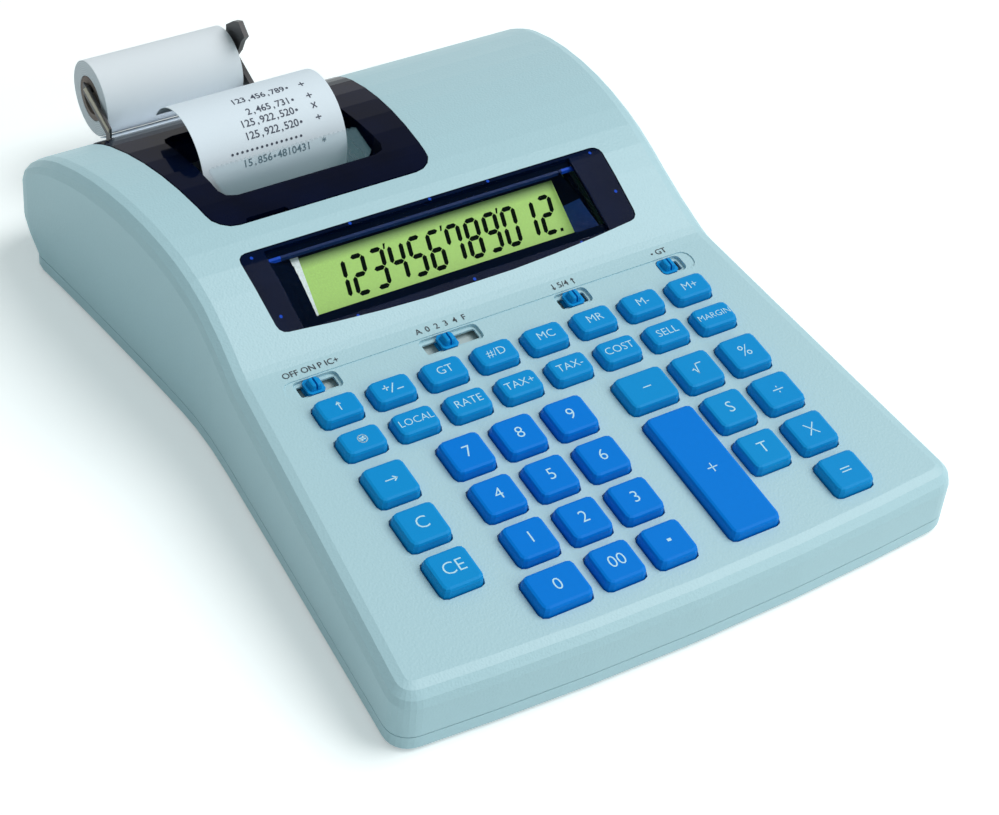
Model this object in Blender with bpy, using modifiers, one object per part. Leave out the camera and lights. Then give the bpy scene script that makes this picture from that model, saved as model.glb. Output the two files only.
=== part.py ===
"""A desktop printing calculator with its paper roll.

The housing is a moulded, waisted shell over a shallow lower shell. Its sloping deck carries
forty keys and four slide switches, a raised brow holds the display under a smoked window, and
the hump behind it holds the printer under a hinged cover. The paper hangs on a holder behind
the rear wall, passes under the platen and comes out through the cover.

Places are measured from the front edge of the housing: x to the right of its middle, y to the
rear and z up from the table. All lengths are in metres.
"""
import math

import bmesh
import bpy
from mathutils import Matrix, Vector

# General fits
wall = 0.0024
touch_gap = 0.0003
moving_gap = 0.00035
overrun = 0.002

# Plan of the housing: a waist near the switches, flaring to the front and to the rear
waist_half_width = 0.0956
waist_place = 0.160
waist_softness = 0.014
front_flare_share = 0.103
rear_flare_share = 0.095
front_bow = 0.0034
front_reach = 0.0010
rear_bow = 0.0020
bow_half_span = 0.090
front_corner_radius = 0.0095
rear_corner_radius = 0.013
edge_rounding = 0.006

# Crown of the housing along its middle: each run's length, the slope at its end and its strips
deck_front_height = 0.0243
deck_slope_degrees = 7.5
deck_run = 0.1325
crease_run = 0.006
display_run = 0.0245
brow_run = 0.027
hump_run = 0.068
tail_run = 0.034
crown_runs = (
    (deck_run, 7.5, 4),
    (crease_run, 24.0, 2),
    (display_run, 24.0, 2),
    (brow_run, 7.0, 3),
    (hump_run, -21.0, 6),
    (tail_run, -62.0, 7),
)
body_length = deck_run + crease_run + display_run + brow_run + hump_run + tail_run
display_start = deck_run + crease_run
hump_start = display_start + display_run + brow_run

# Seam, belly and feet
floor_height = 0.0010
seam_height = 0.0064
bulge_height = 0.0160
rear_tuck = 0.0150
belly_inset = 0.0011
foot_length = 0.150
foot_width = 0.010
foot_seat = 0.0005
front_foot_place = 0.030
rear_foot_place = body_length - 0.046

# Keys, placed on the sloping deck: s runs up the slope from the front edge
key_size = 0.0159
key_depth = 0.0155
small_key_depth = 0.0107
wide_key_size = 0.0199
tall_key_depth = 0.0544
key_height = 0.0037
key_draft = 0.0005
key_corner = 0.0021
key_fillet = 0.0011
key_travel = 0.0020
key_flange = 0.0009
key_flange_thickness = 0.0010
row_places = {"row_4": 0.0197, "row_3": 0.0391, "row_2": 0.05855, "row_1": 0.0780}
row_b_place = 0.0967
row_a_place = 0.1121
small_key_pitch = 0.0201
left_column = -0.07035
wide_zero_column = -0.0440
digit_columns = (-0.0418, -0.0217, -0.0016)
plus_column = 0.0291
root_column = 0.0503
right_column = 0.0704

# Slide switches in their shallow recess
switch_place = deck_run - 0.0063
recess_half_length = 0.0822
recess_width = 0.0084
recess_depth = 0.0004
pocket_width = 0.0074
pocket_corner = 0.0020
pocket_floor = 0.0008
slot_width = 0.0046
knob_length = 0.0064
knob_foot_height = 0.0011
grip_length = 0.0044
grip_width = 0.0050
grip_rise = 0.0021
grip_groove = 0.0007
stem_length = 0.0040
detent_pitch = 0.0032
power_slot_place = -0.07005
decimal_slot_place = -0.01855
rounding_slot_place = 0.03115
total_slot_place = 0.0729

# Display
window_front = display_start + 0.0045
window_length = 0.0332
window_bow = 0.0036
window_half_width = 0.0722
window_flare_share = 0.035
window_corner = 0.0030
window_thickness = 0.0012
window_recess = 0.0002
window_ledge = 0.0030
lcd_setback = 0.0222
lcd_depth = 0.0087
lcd_slope_degrees = 33.2
lcd_half_length = 0.0580
lcd_height = 0.0250
lcd_thickness = 0.0028
cheek_thickness = 0.0016
cheek_front_reach = 0.0020
cheek_rear_reach = 0.0068
cheek_drop = 0.0045

# Printer cover and its hopper
cover_middle = -0.0310
cover_front = hump_start - 0.0015
cover_rear = body_length - 0.0170
cover_front_half_width = 0.0425
cover_flare_share = 0.095
cover_front_corner = 0.0085
cover_rear_corner = 0.0050
cover_thickness = 0.0020
cover_raise = 0.0002
cover_hinge_place = cover_rear - 0.0090
cover_hinge_height = 0.0460
hinge_ear_setback = 0.0040
hinge_ear_thickness = 0.0020
hinge_ear_radius = 0.0026
hinge_pin_radius = 0.0012
hinge_socket_radius = 0.0034
finger_notch_place = cover_middle - 0.0240
finger_notch_length = 0.0160
finger_notch_depth = 0.0016
hopper_middle = -0.0322
hopper_half_width = 0.0324
hopper_front = cover_front + 0.0135
hopper_length = 0.0500
hopper_corner = 0.0050
hopper_bottom = 0.0512
throat_setback = 0.0070
throat_length = 0.0210
hopper_wall = 0.0014
hopper_rim_depth = 0.0026
tear_bar_length = 0.0149
tear_bar_rise = 0.0035
tear_bar_margin = 0.0006
tear_bar_corner = 0.0030
tear_bar_thickness = 0.0012
tooth_pitch = 0.0018
tooth_depth = 0.0009

# Paper, platen and roll
paper_middle = -0.0340
paper_width = 0.0573
paper_thickness = 0.00025
platen_place = hopper_front + 0.02483
platen_height = 0.0440
platen_radius = 0.0060
platen_half_length = 0.0300
journal_radius = 0.0024
journal_length = 0.0034
slot_place = body_length - 0.0098
slot_half_depth = 0.0028
slot_half_width = 0.0305
paper_bend_radius = 0.0080
curl_height = 0.0525
curl_radius = 0.0200
curl_end_degrees = 28.0
roll_place = body_length + 0.0216
roll_height = 0.0346
roll_radius = 0.0147
core_radius = 0.0086
core_bore_radius = 0.0062

# Printer frame
frame_floor_height = 0.0200
frame_plate = 0.0018
frame_front = platen_place - 0.0208
frame_rear = platen_place + 0.0172
frame_top = 0.0480
head_rail_place = platen_place - 0.0143
head_rail_height = 0.0400
head_rail_radius = 0.0020
head_width = 0.0120
head_depth = 0.0100
head_height = 0.0100

# Roll holder
holder_plate = 0.0020
holder_bar_low = 0.0165
holder_bar_high = 0.0225
holder_bar_front = body_length + 0.0008
holder_bar_depth = 0.0034
holder_side_gap = 0.0010
pin_radius = 0.0016
pin_length = 0.0040
arm_half_height = 0.0022
arm_elbow_height = 0.0320
ear_rise = 0.0184
ear_reach = 0.0128
ear_shares = ((-0.17, 0.63), (0.27, 0.89), (0.59, 1.0), (1.0, 0.78), (0.79, 0.59), (0.62, 0.30))
tab_width = 0.0080
tab_height = 0.0030
tab_reach = 0.0060

# Contact mat and board under the keys
mat_half_width = 0.0815
mat_front = 0.0085
mat_rear = 0.1215
mat_thickness = 0.0012
board_half_width = 0.0870
board_rear = 0.1310
board_thickness = 0.0016
board_boss_radius = 0.0024
board_boss_column = 0.0845
board_boss_rows = (0.0250, 0.0720, 0.1180)

# Case screws and the power inlet
screw_places = ((0.0840, 0.1460), (0.0930, body_length - 0.0350))
boss_radius = 0.0038
screw_radius = 0.0016
screw_head_radius = 0.0032
screw_head_depth = 0.0014
inlet_place = 0.0700
inlet_height = 0.0150
inlet_radius = 0.0035
vent_count = 7
vent_pitch = 0.0060
vent_width = 0.0022
vent_length = 0.0240
vent_place = 0.1900

window_rear = window_front + window_length
lcd_middle_place = window_front + lcd_setback
cheek_front = window_front - cheek_front_reach
cheek_rear = window_rear + cheek_rear_reach
hopper_rear = hopper_front + hopper_length
throat_front = hopper_front + throat_setback
throat_rear = throat_front + throat_length
holder_bar_rear = holder_bar_front + holder_bar_depth
overall_length = front_reach + roll_place + roll_radius
deck_slope = math.radians(deck_slope_degrees)
lcd_slope = math.radians(lcd_slope_degrees)
mat_top = -(wall + touch_gap + key_flange_thickness + key_travel + touch_gap)


# Scene, materials and objects

def clear_scene():
    """Removes every object of the scene."""
    for thing in list(bpy.data.objects):
        bpy.data.objects.remove(thing, do_unlink=True)


def make_collection(name):
    """A collection linked to the scene."""
    collection = bpy.data.collections.new(name)
    bpy.context.scene.collection.children.link(collection)
    return collection


def make_material(name, colour, roughness, metallic=0.0, alpha=1.0):
    """A plain Principled material."""
    material = bpy.data.materials.new(name)
    material.use_nodes = True
    shader = material.node_tree.nodes["Principled BSDF"]
    shader.inputs["Base Color"].default_value = (*colour, 1.0)
    shader.inputs["Roughness"].default_value = roughness
    shader.inputs["Metallic"].default_value = metallic
    shader.inputs["Alpha"].default_value = alpha
    return material


def mesh_from(bm, name):
    """Turns a bmesh into a mesh with its faces pointing out."""
    bmesh.ops.recalc_face_normals(bm, faces=bm.faces)
    mesh = bpy.data.meshes.new(name)
    bm.to_mesh(mesh)
    bm.free()
    mesh.shade_smooth()
    mesh.set_sharp_from_angle(angle=math.radians(35))
    return mesh


def add_object(name, mesh, collection, parent, location=(0, 0, 0), rotation=(0, 0, 0)):
    """Places a mesh as an object under its parent."""
    thing = bpy.data.objects.new(name, mesh)
    collection.objects.link(thing)
    thing.parent = parent
    thing.location = location
    thing.rotation_euler = rotation
    return thing


def add_empty(name, collection, parent, location=(0, 0, 0), rotation=(0, 0, 0)):
    """An empty that carries other objects."""
    empty = bpy.data.objects.new(name, None)
    collection.objects.link(empty)
    empty.parent = parent
    empty.location = location
    empty.rotation_euler = rotation
    empty.empty_display_size = wall
    return empty


def add_cutter(name, mesh, collection, parent):
    """A guide body that cuts or extends another one."""
    cutter = add_object(name, mesh, collection, parent)
    cutter.hide_render = True
    cutter.display_type = "WIRE"
    return cutter


def combine(thing, other, operation):
    """Adds a Boolean that cuts or joins with another body."""
    modifier = thing.modifiers.new(other.name, "BOOLEAN")
    modifier.operation = operation
    modifier.object = other
    modifier.solver = "EXACT"


# Shape of the housing

def crown(y):
    """Height and slope angle of the housing's top surface at a distance from its front."""
    place = 0.0
    height = deck_front_height
    sine = math.sin(deck_slope)
    for run, end_degrees, _strips in crown_runs:
        end_sine = math.sin(math.radians(end_degrees))
        reach = min(y - place, run)
        if abs(end_sine - sine) < 1e-6:
            here = sine
            rise = reach * sine / math.sqrt(1 - sine * sine)
        else:
            radius = run / (sine - end_sine)
            here = sine - reach / radius
            rise = radius * (math.sqrt(1 - here * here) - math.sqrt(1 - sine * sine))
        height += rise
        if y - place <= run:
            return height, math.asin(here)
        place += run
        sine = end_sine
    return height, math.asin(sine)


def under_crown(y, depth):
    """Height of a surface that lies a given depth under the crown."""
    height, slope = crown(y)
    return height - depth / math.cos(slope)


def crown_stations():
    """Distances from the front at which the crown's strips meet."""
    stations = []
    place = 0.0
    for run, _end_degrees, strips in crown_runs:
        for step in range(strips):
            stations.append(place + run * step / strips)
        place += run
    stations.append(place)
    return stations


def half_width(y):
    """Half of the housing's width at a distance from its front."""
    reach = math.hypot(y - waist_place, waist_softness) - waist_softness
    if y < waist_place:
        return waist_half_width + front_flare_share * reach
    return waist_half_width + rear_flare_share * reach


def corner_points(start, start_direction, end, end_direction, radius, steps):
    """Points of a rounded corner between two edges, without its two ends."""
    handle = 0.5523 * radius
    first = start + start_direction.normalized() * handle
    second = end - end_direction.normalized() * handle
    points = []
    for step in range(1, steps):
        t = step / steps
        points.append(
            start * (1 - t) ** 3
            + first * 3 * t * (1 - t) ** 2
            + second * 3 * t * t * (1 - t)
            + end * t ** 3
        )
    return points


def housing_plan():
    """Right half of the housing's outline from the front middle to the rear middle."""
    def front_edge(x):
        return front_bow * (x / bow_half_span) ** 2 - front_reach

    def rear_edge(x):
        return body_length - rear_bow * (x / bow_half_span) ** 2

    front_x = half_width(0.0) - front_corner_radius
    front_y = front_edge(front_x) + front_corner_radius
    rear_x = half_width(body_length - rear_corner_radius) - rear_corner_radius
    rear_y = rear_edge(rear_x) - rear_corner_radius
    front_shares = (0.03, 0.40, 0.75, 1.0)
    points = [Vector((front_x * share, front_edge(front_x * share))) for share in front_shares]
    slope = 2 * front_bow * front_x / bow_half_span ** 2
    corner_end = Vector((half_width(front_y), front_y))
    points += corner_points(points[-1], Vector((1, slope)), corner_end,
                            Vector((-front_flare_share, 1)), front_corner_radius, 7)
    points.append(corner_end)
    margin = front_corner_radius / 4
    for y in crown_stations():
        if front_y + margin < y < rear_y - margin:
            points.append(Vector((half_width(y), y)))
    corner_start = Vector((half_width(rear_y), rear_y))
    corner_end = Vector((rear_x, rear_edge(rear_x)))
    slope = 2 * rear_bow * rear_x / bow_half_span ** 2
    points.append(corner_start)
    points += corner_points(corner_start, Vector((rear_flare_share, 1)), corner_end,
                            Vector((-1, slope)), rear_corner_radius, 7)
    points += [Vector((rear_x * share, rear_edge(rear_x * share))) for share in reversed(front_shares)]
    return points


def inset_plan(points, inset, tuck=0.0):
    """The outline moved inward, with its rear end drawn in by the tuck."""
    moved = []
    last = len(points) - 1
    for index, point in enumerate(points):
        before = points[index - 1] if index > 0 else Vector((-point.x, point.y))
        after = points[index + 1] if index < last else Vector((-point.x, point.y))
        along = (after - before).normalized()
        inward = Vector((-along.y, along.x))
        place = point + inward * inset
        behind = max(0.0, place.y - waist_place) / (body_length - waist_place)
        moved.append(Vector((place.x, place.y - tuck * behind ** 3)))
    return moved


# Mesh building

def ring_around(outline, height_at, middle=0.0):
    """A closed ring of points over a symmetric outline, right side first."""
    right = [Vector((middle + point.x, point.y, height_at(point.y))) for point in outline]
    left = [Vector((middle - point.x, point.y, height_at(point.y))) for point in outline]
    return right + left[::-1]


def cap_with_strips(bm, ring):
    """Closes a symmetric ring with strips from side to side."""
    half = len(ring) // 2
    for index in range(half - 1):
        partner = len(ring) - 1 - index
        bm.faces.new((ring[index], ring[index + 1], ring[partner - 1], ring[partner]))


def loft(rings, close_first=True, close_last=True):
    """A body through rings with the same number of points, lowest ring first."""
    bm = bmesh.new()
    levels = [[bm.verts.new(point) for point in ring] for ring in rings]
    for lower, upper in zip(levels, levels[1:]):
        for index in range(len(lower)):
            after = (index + 1) % len(lower)
            bm.faces.new((lower[index], lower[after], upper[after], upper[index]))
    if close_first:
        cap_with_strips(bm, levels[0])
    if close_last:
        cap_with_strips(bm, levels[-1])
    bmesh.ops.dissolve_limit(bm, angle_limit=math.radians(0.05), verts=bm.verts, edges=bm.edges)
    return bm


def plate_outline(front, rear, width_at, front_corner, rear_corner, steps=4, bow=0.0):
    """Half outline of a plate with rounded corners and a bowed front edge."""
    points = []
    front_width = width_at(front + bow + front_corner)
    for share in (0.25, 0.5, 0.75):
        if bow > 0:
            x = (front_width - front_corner) * share
            points.append(Vector((x, front + bow * share * share)))
    for step in range(steps + 1):
        angle = math.radians(90) * step / steps
        points.append(Vector((front_width - front_corner * (1 - math.sin(angle)),
                              front + bow + front_corner * (1 - math.cos(angle)))))
    margin = (rear - front) / 40
    for y in crown_stations():
        if front + bow + front_corner + margin < y < rear - rear_corner - margin:
            points.append(Vector((width_at(y), y)))
    rear_width = width_at(rear - rear_corner)
    for step in range(steps + 1):
        angle = math.radians(90) * step / steps
        points.append(Vector((rear_width - rear_corner * (1 - math.cos(angle)),
                              rear - rear_corner * (1 - math.sin(angle)))))
    return points


def draped_plate(outline, upper_depth, lower_depth, middle=0.0):
    """A plate that follows the crown between two depths under it."""
    lower = ring_around(outline, lambda y: under_crown(y, lower_depth), middle)
    upper = ring_around(outline, lambda y: under_crown(y, upper_depth), middle)
    return loft([lower, upper])


def plumb_body(outline, low, high, middle=0.0):
    """An upright body between two heights."""
    return loft([ring_around(outline, lambda y: low, middle), ring_around(outline, lambda y: high, middle)])


def block(size, centre):
    """A plain block."""
    bm = bmesh.new()
    bmesh.ops.create_cube(bm, size=1.0)
    bmesh.ops.scale(bm, vec=size, verts=bm.verts)
    bmesh.ops.translate(bm, vec=centre, verts=bm.verts)
    return bm


def upright_edges(bm):
    """Edges that run from the bottom to the top of a block."""
    return [edge for edge in bm.edges if abs(edge.verts[0].co.z - edge.verts[1].co.z) > touch_gap]


def rounded_block(size, centre, corner, segments=2, draft=0.0, fillet=0.0):
    """A block with rounded upright edges, drafted sides and a rounded top edge."""
    bm = block(size, centre)
    top = centre[2] + size[2] / 2
    for vertex in bm.verts:
        if vertex.co.z > centre[2]:
            vertex.co.x -= math.copysign(draft, vertex.co.x - centre[0])
            vertex.co.y -= math.copysign(draft, vertex.co.y - centre[1])
    bmesh.ops.bevel(bm, geom=upright_edges(bm), offset=corner, segments=segments, profile=0.5,
                    affect="EDGES", offset_type="OFFSET")
    if fillet > 0:
        rim = [edge for edge in bm.edges if min(v.co.z for v in edge.verts) > top - touch_gap / 3]
        bmesh.ops.bevel(bm, geom=rim, offset=fillet, segments=2, profile=0.5,
                        affect="EDGES", offset_type="OFFSET")
    return bm


def rod(radius, start, end, sides=16):
    """A round rod between two points."""
    start = Vector(start)
    end = Vector(end)
    bm = bmesh.new()
    bmesh.ops.create_cone(bm, cap_ends=True, segments=sides, radius1=radius, radius2=radius,
                          depth=(end - start).length)
    turn = Vector((0, 0, 1)).rotation_difference(end - start).to_matrix().to_4x4()
    bmesh.ops.transform(bm, matrix=Matrix.Translation((start + end) / 2) @ turn, verts=bm.verts)
    return bm


def joined(pieces, name):
    """One mesh that holds several bodies."""
    whole = bmesh.new()
    for piece in pieces:
        part = bpy.data.meshes.new(name)
        bmesh.ops.recalc_face_normals(piece, faces=piece.faces)
        piece.to_mesh(part)
        piece.free()
        whole.from_mesh(part)
        bpy.data.meshes.remove(part)
    mesh = bpy.data.meshes.new(name)
    whole.to_mesh(mesh)
    whole.free()
    return mesh


def side_profile(points, low_x, high_x):
    """A body with an outline in the y and z directions, extruded across x."""
    bm = bmesh.new()
    corners = [bm.verts.new((low_x, y, z)) for y, z in points]
    face = bm.faces.new(corners)
    grown = bmesh.ops.extrude_face_region(bm, geom=[face])
    moved = [item for item in grown["geom"] if isinstance(item, bmesh.types.BMVert)]
    bmesh.ops.translate(bm, vec=(high_x - low_x, 0, 0), verts=moved)
    return bm


# Keys

def key_layout():
    """Every key's name, place and size on the deck."""
    keys = []
    row_a = ("feed", "sign", "grand_total", "item", "memory_clear", "memory_recall",
             "memory_minus", "memory_plus")
    row_b = ("exchange", "local", "rate", "tax_plus", "tax_minus", "cost", "sell", "margin")
    for index in range(8):
        x = (index - 3.5) * small_key_pitch
        keys.append(("key_" + row_a[index], x, row_a_place, key_size, small_key_depth))
        keys.append(("key_" + row_b[index], x, row_b_place, key_size, small_key_depth))
    digits = {"row_1": "789", "row_2": "456", "row_3": "123"}
    for row, names in digits.items():
        for digit, x in zip(names, digit_columns):
            keys.append(("key_" + digit, x, row_places[row], key_size, key_depth))
    left_names = {"row_1": "right_shift", "row_2": "clear", "row_3": "clear_entry"}
    for row, name in left_names.items():
        keys.append(("key_" + name, left_column, row_places[row], key_size, key_depth))
    root_names = {"row_1": "square_root", "row_2": "subtotal", "row_3": "total"}
    for row, name in root_names.items():
        keys.append(("key_" + name, root_column, row_places[row], key_size, key_depth))
    right_names = {"row_1": "percent", "row_2": "divide", "row_3": "multiply", "row_4": "equals"}
    for row, name in right_names.items():
        keys.append(("key_" + name, right_column, row_places[row], key_size, key_depth))
    keys.append(("key_0", wide_zero_column, row_places["row_4"], wide_key_size, key_depth))
    keys.append(("key_00", digit_columns[1], row_places["row_4"], key_size, key_depth))
    keys.append(("key_point", digit_columns[2], row_places["row_4"], key_size, key_depth))
    keys.append(("key_minus", plus_column, row_places["row_1"], wide_key_size, key_depth))
    keys.append(("key_plus", plus_column, row_places["row_3"], wide_key_size, tall_key_depth))
    return keys


def key_mesh(name, width, depth):
    """A key cap with its retaining flange; its origin is on the deck's surface."""
    lower = -(wall + touch_gap)
    height = key_height - lower
    bm = rounded_block((width, depth, height), (0, 0, lower + height / 2), key_corner,
                       draft=key_draft, fillet=key_fillet)
    base = min(bm.faces, key=lambda face: face.calc_center_median().z)
    for drop in (0.0, key_flange_thickness):
        grown = bmesh.ops.extrude_face_region(bm, geom=[base])
        bmesh.ops.delete(bm, geom=[base], context="FACES_ONLY")
        moved = [item for item in grown["geom"] if isinstance(item, bmesh.types.BMVert)]
        base = [item for item in grown["geom"] if isinstance(item, bmesh.types.BMFace)][0]
        for vertex in moved:
            vertex.co.z -= drop
            if drop == 0:
                vertex.co.x += math.copysign(key_flange, vertex.co.x)
                vertex.co.y += math.copysign(key_flange, vertex.co.y)
    return mesh_from(bm, name)


def build_keys(parts, deck, materials):
    """Every key as its own object on the deck."""
    number_keys = {"key_" + mark for mark in "0123456789"} | {"key_00", "key_point", "key_plus"}
    shared = {}
    for name, x, s, width, depth in key_layout():
        size = (width, depth)
        if size not in shared:
            shared[size] = key_mesh(name, width, depth)
        mesh = shared[size].copy()
        kind = "number_key" if name in number_keys else "function_key"
        mesh.materials.append(materials[kind])
        add_object(name, mesh, parts, deck, (x, s, 0))


# Slide switches

def switch_layout():
    """Each switch's name, slot centre, number of positions and position at rest."""
    return (
        ("slider_power", power_slot_place, 4, 1),
        ("slider_decimal", decimal_slot_place, 6, 2),
        ("slider_rounding", rounding_slot_place, 3, 1),
        ("slider_total", total_slot_place, 2, 0),
    )


def build_sliders(parts, guides, deck, materials):
    """A grooved knob for each slide switch, kept in by a flange under the deck."""
    under = -(wall + touch_gap)
    foot_low = -(wall - pocket_floor) + touch_gap
    foot_high = foot_low + knob_foot_height
    foot_width = pocket_width - 2 * moving_gap
    stem_width = slot_width - 2 * moving_gap
    grip_high = grip_rise + grip_groove
    for name, middle, positions, rest in switch_layout():
        foot = rounded_block((knob_length, foot_width, knob_foot_height),
                             (0, 0, (foot_low + foot_high) / 2), pocket_corner / 2, segments=1)
        mesh = mesh_from(foot, name)
        mesh.materials.append(materials["function_key"])
        x = middle + (rest - (positions - 1) / 2) * detent_pitch
        knob = add_object(name, mesh, parts, deck, (x, switch_place, 0))
        grip_low = foot_high - touch_gap
        grip = rounded_block((grip_length, grip_width, grip_rise - grip_low),
                             (0, 0, (grip_rise + grip_low) / 2), grip_length / 6, segments=2,
                             draft=key_draft, fillet=key_fillet / 2)
        stem = block((stem_length, stem_width, foot_low - under + 2 * touch_gap),
                     (0, 0, (foot_low + under) / 2))
        flange = block((knob_length, slot_width + 2 * key_flange, key_flange_thickness),
                       (0, 0, under - key_flange_thickness / 2))
        for part_name, piece in (("grip", grip), ("stem", stem), ("flange", flange)):
            guide = add_cutter(name + "_" + part_name, joined([piece], name), guides, knob)
            combine(knob, guide, "UNION")
        groove = block((grip_groove, 2 * grip_width, grip_high - foot_high), (0, 0, (grip_high + foot_high) / 2))
        guide = add_cutter(name + "_groove", joined([groove], name), guides, knob)
        combine(knob, guide, "DIFFERENCE")


# Housing

def upper_body(depth, below):
    """The upper housing as a full body, its surface moved inward by a depth and its rim lower."""
    plan = housing_plan()
    rounding = edge_rounding - depth
    rim = seam_height + touch_gap
    rings = []
    if below > 0:
        outline = inset_plan(plan, depth, rear_tuck)
        rings.append(ring_around(outline, lambda y: rim - below))
    for height, tuck_share in ((rim, 1.0), ((rim + bulge_height) / 2, 0.35), (bulge_height, 0.0)):
        outline = inset_plan(plan, depth, rear_tuck * tuck_share)
        rings.append(ring_around(outline, lambda y, level=height: level))
    for angle in (0, 30, 60, 90):
        turn = math.radians(angle)
        outline = inset_plan(plan, depth + rounding * (1 - math.cos(turn)))
        drop = rounding * (1 - math.sin(turn))
        rings.append(ring_around(outline, lambda y, fall=drop: under_crown(y, depth) - fall))
    return loft(rings)


def build_top_shell(parts, guides, base, deck, materials):
    """The moulded upper housing with its key wells, slots, bosses and openings."""
    mesh = mesh_from(upper_body(0.0, 0.0), "top_shell")
    mesh.materials.append(materials["housing"])
    shell = add_object("top_shell", mesh, parts, base)
    hollow = mesh_from(upper_body(wall, overrun), "shell_hollow")
    combine(shell, add_cutter("shell_hollow", hollow, guides, base), "DIFFERENCE")
    combine(shell, add_cutter("rear_openings", rear_openings(), guides, base), "DIFFERENCE")
    combine(shell, add_cutter("shell_bosses", shell_bosses(), guides, base), "UNION")
    combine(shell, add_cutter("deck_bosses", deck_bosses(), guides, deck), "UNION")
    combine(shell, add_cutter("hinge_sockets", hinge_sockets(), guides, base), "UNION")
    combine(shell, add_cutter("hinge_pin_hole", hinge_pin_hole(), guides, base), "DIFFERENCE")
    combine(shell, add_cutter("shallow_pockets", shallow_pockets(), guides, base), "DIFFERENCE")
    combine(shell, add_cutter("switch_recess", switch_recess(), guides, deck), "DIFFERENCE")
    combine(shell, add_cutter("switch_pockets", switch_pockets(), guides, deck), "DIFFERENCE")
    combine(shell, add_cutter("deck_openings", deck_openings(), guides, deck), "DIFFERENCE")
    combine(shell, add_cutter("shell_openings", shell_openings(), guides, base), "DIFFERENCE")


def screw_points():
    """The four case screws."""
    return [(side * x, y) for x, y in screw_places for side in (-1, 1)]


def shell_bosses():
    """Screw bosses under the crown and the two cheeks that hold the display."""
    pieces = []
    for x, y in screw_points():
        top = crown(y)[0] - wall / 2
        pieces.append(rod(boss_radius, (x, y, seam_height + 2 * touch_gap), (x, y, top), 12))
    inner = lcd_half_length + touch_gap
    for side in (-1, 1):
        pieces.append(side_profile(cheek_outline(), side * inner, side * (inner + cheek_thickness)))
    return joined(pieces, "shell_bosses")


def cheek_outline():
    """Side view of a display cheek: it follows the crown above and the display below."""
    buried = wall * 0.84
    upper = []
    for y in crown_stations():
        if cheek_front < y < cheek_rear:
            upper.append((y, under_crown(y, buried)))
    ends = [(cheek_front, under_crown(cheek_front, buried)), (cheek_rear, under_crown(cheek_rear, buried))]
    reach = lcd_height / 2
    middle = under_crown(lcd_middle_place, lcd_depth)
    low_front = (lcd_middle_place - reach * math.cos(lcd_slope),
                 middle - reach * math.sin(lcd_slope) - cheek_drop)
    low_rear = (lcd_middle_place + reach * math.cos(lcd_slope) + cheek_drop,
                middle + reach * math.sin(lcd_slope) - cheek_drop)
    return [low_front, low_rear, ends[1]] + upper[::-1] + [ends[0]]


def deck_bosses():
    """Posts under the deck that carry the circuit board."""
    pieces = []
    bottom = mat_top - mat_thickness + touch_gap
    for s in board_boss_rows:
        for side in (-1, 1):
            x = side * board_boss_column
            pieces.append(rod(board_boss_radius, (x, s, bottom), (x, s, -wall / 2), 10))
    return joined(pieces, "deck_bosses")


def window_width(y):
    """Half width of the display window."""
    return window_half_width + (y - window_front) * window_flare_share


def window_outline(grow):
    """Half outline of the window, made larger or smaller all round."""
    return plate_outline(window_front - grow, window_rear + grow, lambda y: window_width(y) + grow,
                         window_corner + grow, window_corner + grow, 3, window_bow)


def cover_width(y):
    """Half width of the printer cover."""
    return cover_front_half_width + (y - cover_front) * cover_flare_share


def cover_outline(grow):
    """Half outline of the printer cover, made larger all round."""
    return plate_outline(cover_front - grow, cover_rear + grow, lambda y: cover_width(y) + grow,
                         cover_front_corner + grow, cover_rear_corner + grow, 4)


def shallow_pockets():
    """The seat of the display window."""
    depth = window_recess + window_thickness + touch_gap
    return joined([draped_plate(window_outline(touch_gap), -overrun, depth)], "shallow_pockets")


def window_light_outline():
    """Half outline of the hole behind the window, inside its ledge."""
    return plate_outline(window_front + window_bow + window_ledge, window_rear - window_ledge,
                         lambda y: window_width(y) - window_ledge, window_corner, window_corner, 2)


def switch_recess():
    """The shallow recess that the switch slots lie in."""
    half = recess_depth + overrun
    bm = rounded_block((2 * recess_half_length, recess_width, half),
                       (0, switch_place, -recess_depth + half / 2), recess_width * 0.42, segments=3)
    return joined([bm], "switch_recess")


def deck_openings():
    """Key wells and switch slots through the deck."""
    pieces = []
    depth = wall + 2 * overrun
    for _name, x, s, width, length in key_layout():
        pieces.append(rounded_block((width + 2 * moving_gap, length + 2 * moving_gap, depth),
                                    (x, s, -wall / 2), key_corner + moving_gap))
    for _name, middle, positions, _rest in switch_layout():
        length = (positions - 1) * detent_pitch + stem_length + 2 * moving_gap
        pieces.append(rounded_block((length, slot_width, depth), (middle, switch_place, -wall / 2),
                                    slot_width / 10, segments=1))
    return joined(pieces, "deck_openings")


def switch_pockets():
    """The round-ended pocket that each switch's knob slides in."""
    pieces = []
    high = overrun
    low = -(wall - pocket_floor)
    for _name, middle, positions, _rest in switch_layout():
        length = (positions - 1) * detent_pitch + knob_length + 2 * moving_gap
        pieces.append(rounded_block((length, pocket_width, high - low), (middle, switch_place, (high + low) / 2),
                                    pocket_corner, segments=3))
    return joined(pieces, "switch_pockets")


def shell_openings():
    """Openings for the display and the printer cover."""
    pieces = [draped_plate(window_light_outline(), 0.0, 2 * wall)]
    pieces.append(draped_plate(cover_outline(moving_gap), -overrun, 3 * wall, cover_middle))
    return joined(pieces, "shell_openings")


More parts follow.
